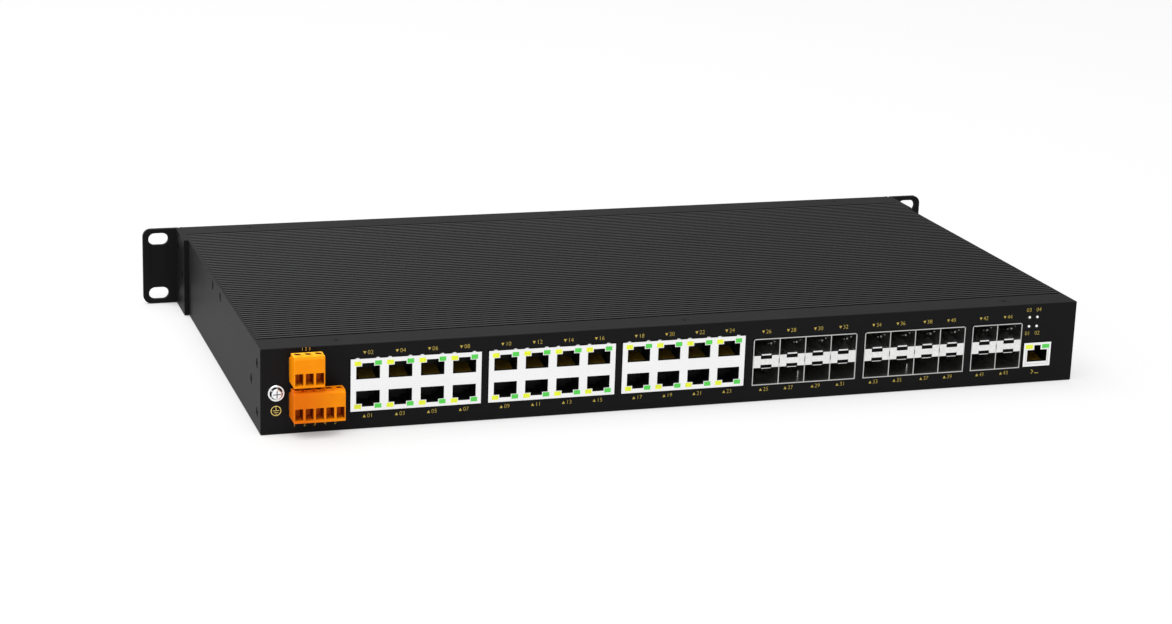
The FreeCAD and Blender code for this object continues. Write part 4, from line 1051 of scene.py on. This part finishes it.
@dataclass
class ModuleCages:
    """Three cages for pluggable modules.

    A cage is its middle and its number of bays. A latch and a lip are their lowest and highest edges. A pip
    is its place back from the face, its rise above the web and its share of the full radius.
    """

    cages: tuple[tuple[float, int], ...] = ((64.3, 4), (126.45, 4), (174.0, 2))
    pitch: float = 14.3
    sheet: float = 0.5
    face: float = -122.9
    low: float = 8.6
    depth: float = 47.5
    web: Point = (18.05, 24.45)
    latch_width: float = 6.2
    latch_depth: float = 6.0
    upper_latch: Point = (22.65, 24.6)
    lower_latch: Point = (17.85, 19.6)
    lip_width: float = 5.3
    lip_depth: float = 8.0
    upper_lip: Point = (24.6, 25.3)
    lower_lip: Point = (17.55, 17.85)
    # Dark plates that paint the shade in the latch slots.
    tongue_depth: float = 2.0
    tongue_sunk: float = 0.05
    tongue_edge: Point = (0.05, 0.1)
    slit: Point = (0.4, 2.4)
    slit_rise: float = 0.012
    pip_radius: float = 0.72
    pip_profile: tuple[Point, ...] = ((1.0, 0.0), (0.85, 0.45), (0.45, 0.7))
    pip_sides: int = 12
    pip_spots: tuple[Spot, ...] = (
        (11.5, 2.8, 1.0), (15.0, 1.6, 0.6), (18.0, 3.6, 0.7), (21.5, 2.2, 0.6), (7.0, 5.2, 0.55))
    finger: Spot = (0.3, 3.5, 0.15)
    finger_edge: Point = (0.1, 0.2)
    finger_back: float = 7.5
    finger_bays: tuple[int, ...] = (1, 5)
    socket: Spot = (12.4, 9.0, 6.4)
    socket_front: float = -84.4
    card: Point = (10.4, 1.4)
    card_depth: float = 7.0
    contacts: int = 10
    contact_pitch: float = 0.95
    contact_half: float = 0.2
    contact_sheet: float = 0.35
    contact_span: Point = (-5.0, -0.6)

    def middles(self, middle: float, bays: int) -> list[float]:
        """Middles of the bays of one cage, across."""
        return [middle + (bay - (bays - 1) / 2) * self.pitch for bay in range(bays)]

    def all_middles(self) -> list[float]:
        """Middles of the bays of every cage, across."""
        return [x for middle, bays in self.cages for x in self.middles(middle, bays)]

    def half_bay(self) -> float:
        """Half the clear width between two dividers."""
        return (self.pitch - self.sheet) / 2

    def webs(self, number: int) -> None:
        """Build the centre webs of one cage, with a latch slot and a lip for each bay.

        Args:
            number: The cage, counted from 1.
        """
        shape = Shape()
        half, slot, lip = self.half_bay(), self.latch_width / 2, self.lip_width / 2
        low, high = self.web
        under, over = self.lower_latch[1], self.upper_latch[0]
        notched = [
            (-half, low), (-slot, low), (-slot, under), (slot, under), (slot, low), (half, low),
            (half, high), (slot, high), (slot, over), (-slot, over), (-slot, high), (-half, high)]
        plain = [(u, low if v < (low + high) / 2 else high) for u, v in notched]
        step = -self.latch_depth
        for x in self.middles(*self.cages[number - 1]):
            at = Facing.FRONT.at((x, self.face, 0.0))
            shape.stack(at, [(plain, -self.depth), (plain, step), (notched, step), (notched, 0.0)])
            for foot, top in (self.upper_lip, self.lower_lip):
                shape.prism(at, rectangle((-lip, foot), (lip, top)), -self.lip_depth, 0.0)
        shape.place(f"web_fronts_{number}", SATIN_NICKEL, "cage_tin", [f"cage_webs_{number}"])

    def latches(self) -> None:
        """Paint the shade in each latch slot of the webs with a dark plate."""
        shape = Shape()
        wide, (edge, along) = self.latch_width / 2, self.tongue_edge
        for x in self.all_middles():
            at = Facing.FRONT.at((x, self.face, 0.0))
            for low, high in (self.upper_latch, self.lower_latch):
                back = rectangle((-wide, low), (wide, high))
                front = rectangle((edge - wide, low + edge), (wide - edge, high - edge))
                start = -self.tongue_sunk
                shape.stack(at, [(back, -self.tongue_depth), (back, start - along), (front, start)])
        shape.place("latch_slot_shades", BLACK_ZINC_AND_SHADE, "housing_black")

    def slits(self) -> None:
        """Paint the shade of the narrow slit that each divider leaves in the web, as a thin black strip."""
        shape = Shape()
        half, tall = (side / 2 for side in self.slit)
        outline = rectangle((-half, -tall), (half, tall))
        for cage in self.cages:
            for x in self.middles(*cage)[1:]:
                at = Facing.FRONT.at((x - self.pitch / 2, self.face, sum(self.web) / 2))
                shape.prism(at, outline, 0.0, self.slit_rise)
        shape.place("web_slit_shades", BLACK_ZINC_AND_SHADE, "cage_tin")

    def pips(self) -> None:
        """Press small pips into the right wall of each upper bay, which catch the light inside."""
        shape = Shape()
        for x in self.all_middles():
            for back, rise, share in self.pip_spots:
                at = Facing.LEFT.at((x + self.half_bay(), self.face + back, self.web[1] + rise))
                radius = share * self.pip_radius
                shape.lathe(at, [(u * radius, v * radius) for u, v in self.pip_profile], self.pip_sides)
        shape.place("cage_pips", SOLDER, "cage_tin")

    def fingers(self) -> None:
        """Bend a thin spring finger out of the right wall of two lower bays."""
        shape = Shape()
        wide, tall, sheet = self.finger
        across, down = self.finger_edge
        outline = [(-wide, 0.0), (0.0, 0.0), (0.0, tall), (across - wide, tall), (-wide, tall - down)]
        middles = self.all_middles()
        for bay in self.finger_bays:
            wall = middles[bay] + self.half_bay()
            at = Facing.FRONT.at((wall, self.face + self.finger_back, self.low + self.sheet))
            shape.prism(at, outline, -sheet, 0.0)
        shape.place("bay_spring_fingers", SOLDER, "cage_tin")

    def contact_outlines(self) -> list[list[Point]]:
        """Work out the two rows of contacts of one socket.

        Returns:
            Each contact's corners, above and below the card.
        """
        half, outlines = self.contact_half, []
        for k in range(self.contacts):
            across = (k - (self.contacts - 1) / 2) * self.contact_pitch
            for side in (-1, 1):
                edge = side * self.card[1] / 2
                tip = edge - self.contact_sheet * side
                outlines.append([
                    (across - half, edge), (across + half, edge), (across + half, tip), (across - half, tip)])
        return outlines

    def sockets(self, number: int) -> None:
        """Build the edge-card sockets of one cage, with their rows of contacts.

        Args:
            number: The cage, counted from 1.
        """
        bodies, rows = Shape(), Shape()
        wide, deep, tall = self.socket
        around = rectangle((-wide / 2, -tall / 2), (wide / 2, tall / 2))
        half_card, half_gap = (side / 2 for side in self.card)
        slot = rectangle((-half_card, -half_gap), (half_card, half_gap))
        for x in self.middles(*self.cages[number - 1]):
            for floor in (self.low + self.sheet, self.web[1]):
                at = Facing.FRONT.at((x, self.socket_front, floor + tall / 2))
                bodies.stack(at, [(around, -deep), (around, 0.0)], (True, False))
                bodies.sunk(at, around, slot, 0.0, self.card_depth)
                for outline in self.contact_outlines():
                    rows.prism(at, outline, *self.contact_span)
        bodies.place(f"card_sockets_{number}", BLACK_POLYESTER, "housing_black", [f"module_sockets_{number}"])
        rows.place(f"card_contacts_{number}", GOLD, "contact_gold")

    def build(self) -> None:
        """Dress the cages' solids and add what is pressed into them."""
        for number in range(1, len(self.cages) + 1):
            dress(f"{part}_{number}" for part in ("module_cage", "cage_dividers"))
            self.webs(number)
            self.sockets(number)
        self.latches()
        self.slits()
        self.pips()
        self.fingers()


@dataclass
class StatusLights:
    """Four domed light pipes in dark collars."""

    first: Point = (192.65, 31.35)
    step: Point = (4.5, 5.0)
    panel: float = -122.5
    radius: float = 0.62
    tail: float = 4.0
    base: float = 0.1
    proud: float = 0.4
    tip_radius: float = 0.02
    dome_steps: int = 4
    dome_sides: int = 24
    collar: tuple[Point, ...] = ((1.3, -0.02), (1.3, 0.08), (1.2, 0.14), (0.85, 0.14), (0.8, -0.02))
    collar_sides: int = 28

    def spots(self) -> list[Point]:
        """Middles of the lights, as (x, z)."""
        x, z = self.first
        return [(x + i * self.step[0], z + k * self.step[1]) for k in (0, 1) for i in (0, 1)]

    def build(self) -> None:
        """Build the pipes and their collars."""
        pipes, collars = Shape(), Shape()
        dome = [(self.radius, -self.tail), (self.radius, self.base)]
        for k in range(1, self.dome_steps + 1):
            angle = math.pi / 2 * k / self.dome_steps
            wide = max(self.tip_radius, self.radius * math.cos(angle))
            dome.append((wide, self.base + (self.proud - self.base) * math.sin(angle)))
        for x, z in self.spots():
            at = Facing.FRONT.at((x, self.panel, z))
            pipes.lathe(at, dome, self.dome_sides)
            collars.turned_ring(at, self.collar, self.collar_sides)
        pipes.place("status_light_domes", MILKY_PIPE, "lens_white", ["status_lights"])
        collars.place("status_light_collars", BLACK_POLYESTER, "housing_black")


@dataclass
class PanelPrint:
    """Plain numbers printed on the port panel, with a pointer to each jack's row.

    The label's shifts and its pointer's half width and half height are shares of the figures' height.
    """

    panel: float = -122.5
    figure: float = 2.15
    relay_figure: float = 1.6
    power_figure: float = 1.9
    lean: float = 0.05
    ink: float = 0.03
    number_shift: float = 0.50
    pointer_shift: float = -0.85
    pointer: Point = (0.36, 0.34)
    jack_rows: Point = (6.4, 38.9)
    jack_shift: float = 0.25
    cage_rows: Point = (6.2, 37.15)
    cage_shifts: tuple[float, ...] = (-0.4, -1.0, -0.2, -0.4, -0.9, -1.5, -0.4, -1.05, -1.05, -1.3)
    light_rows: Point = (27.4, 40.3)
    light_shifts: Point = (-0.6, 0.6)
    relay_row: float = 42.45
    relay_shift: float = 0.6
    power_row: float = 4.1
    sign_spot: Point = (198.0, 6.0)
    sign_arrow: tuple[Point, ...] = (
        (-1.0, 0.0), (-2.2, -1.1), (-1.7, -1.1), (-0.5, 0.0), (-1.7, 1.1), (-2.2, 1.1))
    sign_bar: tuple[Point, Point] = ((0.2, -1.1), (2.4, -0.75))
    jacks: JackBlocks = field(default_factory=JackBlocks)
    cages: ModuleCages = field(default_factory=ModuleCages)
    lights: StatusLights = field(default_factory=StatusLights)

    def number(self, shape: Shape, words: str, x: float, z: float, height: float) -> None:
        """Print one number, whose strokes are thinned unless it is small."""
        lean = self.lean if height >= self.figure else 0.0
        shape.lettering(words, Facing.FRONT.at((x, self.panel, z)), height, self.ink, lean)

    def label(self, shape: Shape, value: int, x: float, z: float, up: int) -> None:
        """Print a port's number with a small pointer to its jack before it.

        Args:
            shape: The mesh that gets it.
            value: The number.
            x: Middle of the label, across.
            z: Its middle height.
            up: 1 for a pointer up, and -1 for one down.
        """
        height = self.figure
        self.number(shape, f"{value:02d}", x + self.number_shift * height, z, height)
        at = Facing.FRONT.at((x + self.pointer_shift * height, self.panel, z))
        wide, tall = self.pointer[0] * height, self.pointer[1] * height * up
        shape.prism(at, [(-wide, -tall), (wide, -tall), (0.0, tall)][::up], 0.0, self.ink)

    def ports(self) -> None:
        """Number the jacks and the module bays, odd below and even above."""
        shape = Shape()
        columns = [(x + self.jack_shift, self.jack_rows) for x in self.jacks.all_columns()]
        for x, shift in zip(self.cages.all_middles(), self.cage_shifts):
            columns.append((x + shift, self.cage_rows))
        for count, (x, (low, high)) in enumerate(columns):
            self.label(shape, 2 * count + 1, x, low, 1)
            self.label(shape, 2 * count + 2, x, high, -1)
        shape.place("port_numbers", GOLD_INK, "case_paint")

    def lights_and_poles(self) -> None:
        """Number the status lights and the poles of the plugs."""
        shape = Shape()
        for count, (x, _) in enumerate(self.lights.spots()):
            row, shift = self.light_rows[count // 2], self.light_shifts[count % 2]
            self.number(shape, f"{count + 1:02d}", x + shift, row, self.figure)
        middles = RELAY_PLUG.middles()
        words = " ".join(str(pole) for pole in range(1, len(middles) + 1))
        middle = sum(middles) / len(middles) + self.relay_shift
        self.number(shape, words, middle, self.relay_row, self.relay_figure)
        for count, x in enumerate(POWER_PLUG.middles(), start=1):
            self.number(shape, str(count), x, self.power_row, self.power_figure)
        shape.place("light_and_pole_numbers", GOLD_INK, "case_paint")

    def console_sign(self) -> None:
        """Print a plain prompt sign, an arrowhead and a bar, under the console jack."""
        shape = Shape()
        x, z = self.sign_spot
        for outline in (self.sign_arrow, rectangle(*self.sign_bar)):
            shape.prism(Facing.FRONT.at((x, self.panel, z)), outline, 0.0, self.ink)
        shape.place("console_sign", GOLD_INK, "case_paint")

    def build(self) -> None:
        """Print everything that is on the panel."""
        self.ports()
        self.lights_and_poles()
        self.console_sign()


@dataclass
class Insides:
    """Boards, chips and power parts inside the closed case."""

    nodes: tuple[str, ...] = (
        "terminal_board", "main_board", "board_standoffs", "switch_chip", "port_chips", "thermal_pad",
        "heat_spreader", "power_module", "storage_capacitors")

    def build(self) -> None:
        """Dress what the case hides."""
        dress(self.nodes)


@dataclass
class Studio:
    """White ground, soft light and the camera of the photograph, in metres.

    A lamp is its place, the width and height of its face, and its power in watts.
    """

    camera_spot: Spot = (-0.43649, -1.27339, 0.39902)
    right: Spot = (0.95175, -0.30510, 0.03281)
    down: Spot = (-0.05375, -0.27101, -0.96107)
    forward: Spot = (0.30212, 0.91294, -0.27434)
    focal_px: float = 2523.04
    image_px: float = 1172.0
    sensor_mm: float = 36.0
    clip_start: float = 0.01
    ground_size: float = 14.0
    ground_z: float = -0.0002
    ground_tone: float = 0.75
    ground_glow: float = 0.66
    contact_reach: float = 0.0135
    contact_rays: int = 8
    contact_open: Point = (0.15, 0.55)
    contact_glow: float = 0.36
    overhead: tuple[Spot, Point, float] = ((-0.5, 0.1, 2.6), (3.4, 2.6), 80.0)
    fill: tuple[Spot, Point, float] = ((-0.5, -2.6, 1.1), (2.0, 1.2), 6.0)
    sky_span: Point = (-0.4, 0.5)
    sky_levels: Point = (0.92, 0.24)

    def camera(self) -> None:
        """Stand the camera where the photograph was taken from."""
        data = bpy.data.cameras.new("camera")
        data.sensor_width = self.sensor_mm
        data.lens = self.focal_px / self.image_px * self.sensor_mm
        data.clip_start = self.clip_start
        item = bpy.data.objects.new("camera", data)
        axes = [Vector(self.right), -Vector(self.down), -Vector(self.forward)]
        item.matrix_world = Matrix.Translation(self.camera_spot) @ Matrix(axes).transposed().to_4x4()
        bpy.context.scene.collection.objects.link(item)
        bpy.context.scene.camera = item

    def paper(self) -> bpy.types.Material:
        """Make the ground's material: matt white, and part glowing for camera and mirror rays.

        The glow is less under overhangs, so that the part keeps its contact shadow.

        Returns:
            The node material.
        """
        material = bpy.data.materials.new("white_paper_ground")
        material.use_nodes = True
        tree = material.node_tree
        tree.nodes.clear()
        matt = add_node(tree, "ShaderNodeBsdfDiffuse", inputs={"Color": (*[self.ground_tone] * 3, 1.0)})
        nearby = add_node(tree, "ShaderNodeAmbientOcclusion", {"samples": self.contact_rays}, {
            "Distance": self.contact_reach})
        level = add_node(tree, "ShaderNodeMapRange", inputs={
            "Value": nearby.outputs["AO"],
            "From Min": self.contact_open[0], "From Max": self.contact_open[1],
            "To Min": self.contact_glow, "To Max": 1.0})
        glow = add_node(tree, "ShaderNodeEmission", inputs={
            "Color": WHITE, "Strength": level.outputs["Result"]})
        rays = add_node(tree, "ShaderNodeLightPath").outputs
        seen = add_node(tree, "ShaderNodeMath", {"operation": "ADD"}, {
            0: rays["Is Camera Ray"], 1: rays["Is Glossy Ray"]})
        seen = add_node(tree, "ShaderNodeMath", {"operation": "ADD", "use_clamp": True}, {
            0: seen.outputs[0], 1: rays["Is Transmission Ray"]})
        share = add_node(tree, "ShaderNodeMath", {"operation": "MULTIPLY"}, {
            0: seen.outputs[0], 1: self.ground_glow})
        mixed = add_node(tree, "ShaderNodeMixShader", inputs={
            0: share.outputs[0], 1: matt.outputs[0], 2: glow.outputs[0]})
        add_node(tree, "ShaderNodeOutputMaterial", inputs={"Surface": mixed.outputs[0]})
        return material

    def ground(self) -> None:
        """Lay the floor just below the part."""
        half = self.ground_size / 2
        corners = [(x, y, 0) for x, y in rectangle((-half, -half), (half, half))]
        data = bpy.data.meshes.new("ground")
        data.from_pydata(corners, [], [tuple(range(len(corners)))])
        data.materials.append(self.paper())
        item = bpy.data.objects.new("ground", data)
        item.location.z = self.ground_z
        bpy.context.scene.collection.objects.link(item)

    def lamp(self, name: str, spot: Spot, size: Point, power: float) -> None:
        """Hang one soft box that faces the part.

        Args:
            name: The lamp's name.
            spot: Where it hangs.
            size: Width and height of its face.
            power: Its power in watts.
        """
        data = bpy.data.lights.new(name, "AREA")
        data.shape = "RECTANGLE"
        data.size, data.size_y = size
        data.energy = power
        item = bpy.data.objects.new(name, data)
        item.location = spot
        item.rotation_euler = (-Vector(spot)).to_track_quat("-Z", "Y").to_euler()
        bpy.context.scene.collection.objects.link(item)

    def lights(self) -> None:
        """Hang a soft light overhead and a fill in front, under a sky that is brighter on the left."""
        self.lamp("soft_overhead", *self.overhead)
        self.lamp("soft_front", *self.fill)
        world = bpy.data.worlds.new("studio")
        bpy.context.scene.world = world
        world.use_nodes = True
        tree = world.node_tree
        tree.nodes.clear()
        way = add_node(tree, "ShaderNodeTexCoord").outputs["Generated"]
        across = add_node(tree, "ShaderNodeSeparateXYZ", inputs={0: way}).outputs["X"]
        level = add_node(tree, "ShaderNodeMapRange", inputs={
            "Value": across,
            "From Min": self.sky_span[0], "From Max": self.sky_span[1],
            "To Min": self.sky_levels[0], "To Max": self.sky_levels[1]})
        sky = add_node(tree, "ShaderNodeBackground", inputs={
            "Color": WHITE, "Strength": level.outputs["Result"]})
        add_node(tree, "ShaderNodeOutputWorld", inputs={"Surface": sky.outputs[0]})

    def build(self) -> None:
        """Set up the camera, ground and light."""
        self.camera()
        self.ground()
        self.lights()
        bpy.context.scene.view_settings.view_transform = "Standard"


def main() -> None:
    """Build every sub-assembly in order."""
    logging.basicConfig(level=logging.INFO)
    parts = [
        Case(), RackEars(), EarthTerminal(), RELAY_PLUG, POWER_PLUG, JackBlocks(), ConsoleJack(),
        ModuleCages(), StatusLights(), PanelPrint(), Insides(), Studio()]
    for part in parts:
        part.build()
        LOG.info("built %s", type(part).__name__)


if __name__ == "__main__":
    main()
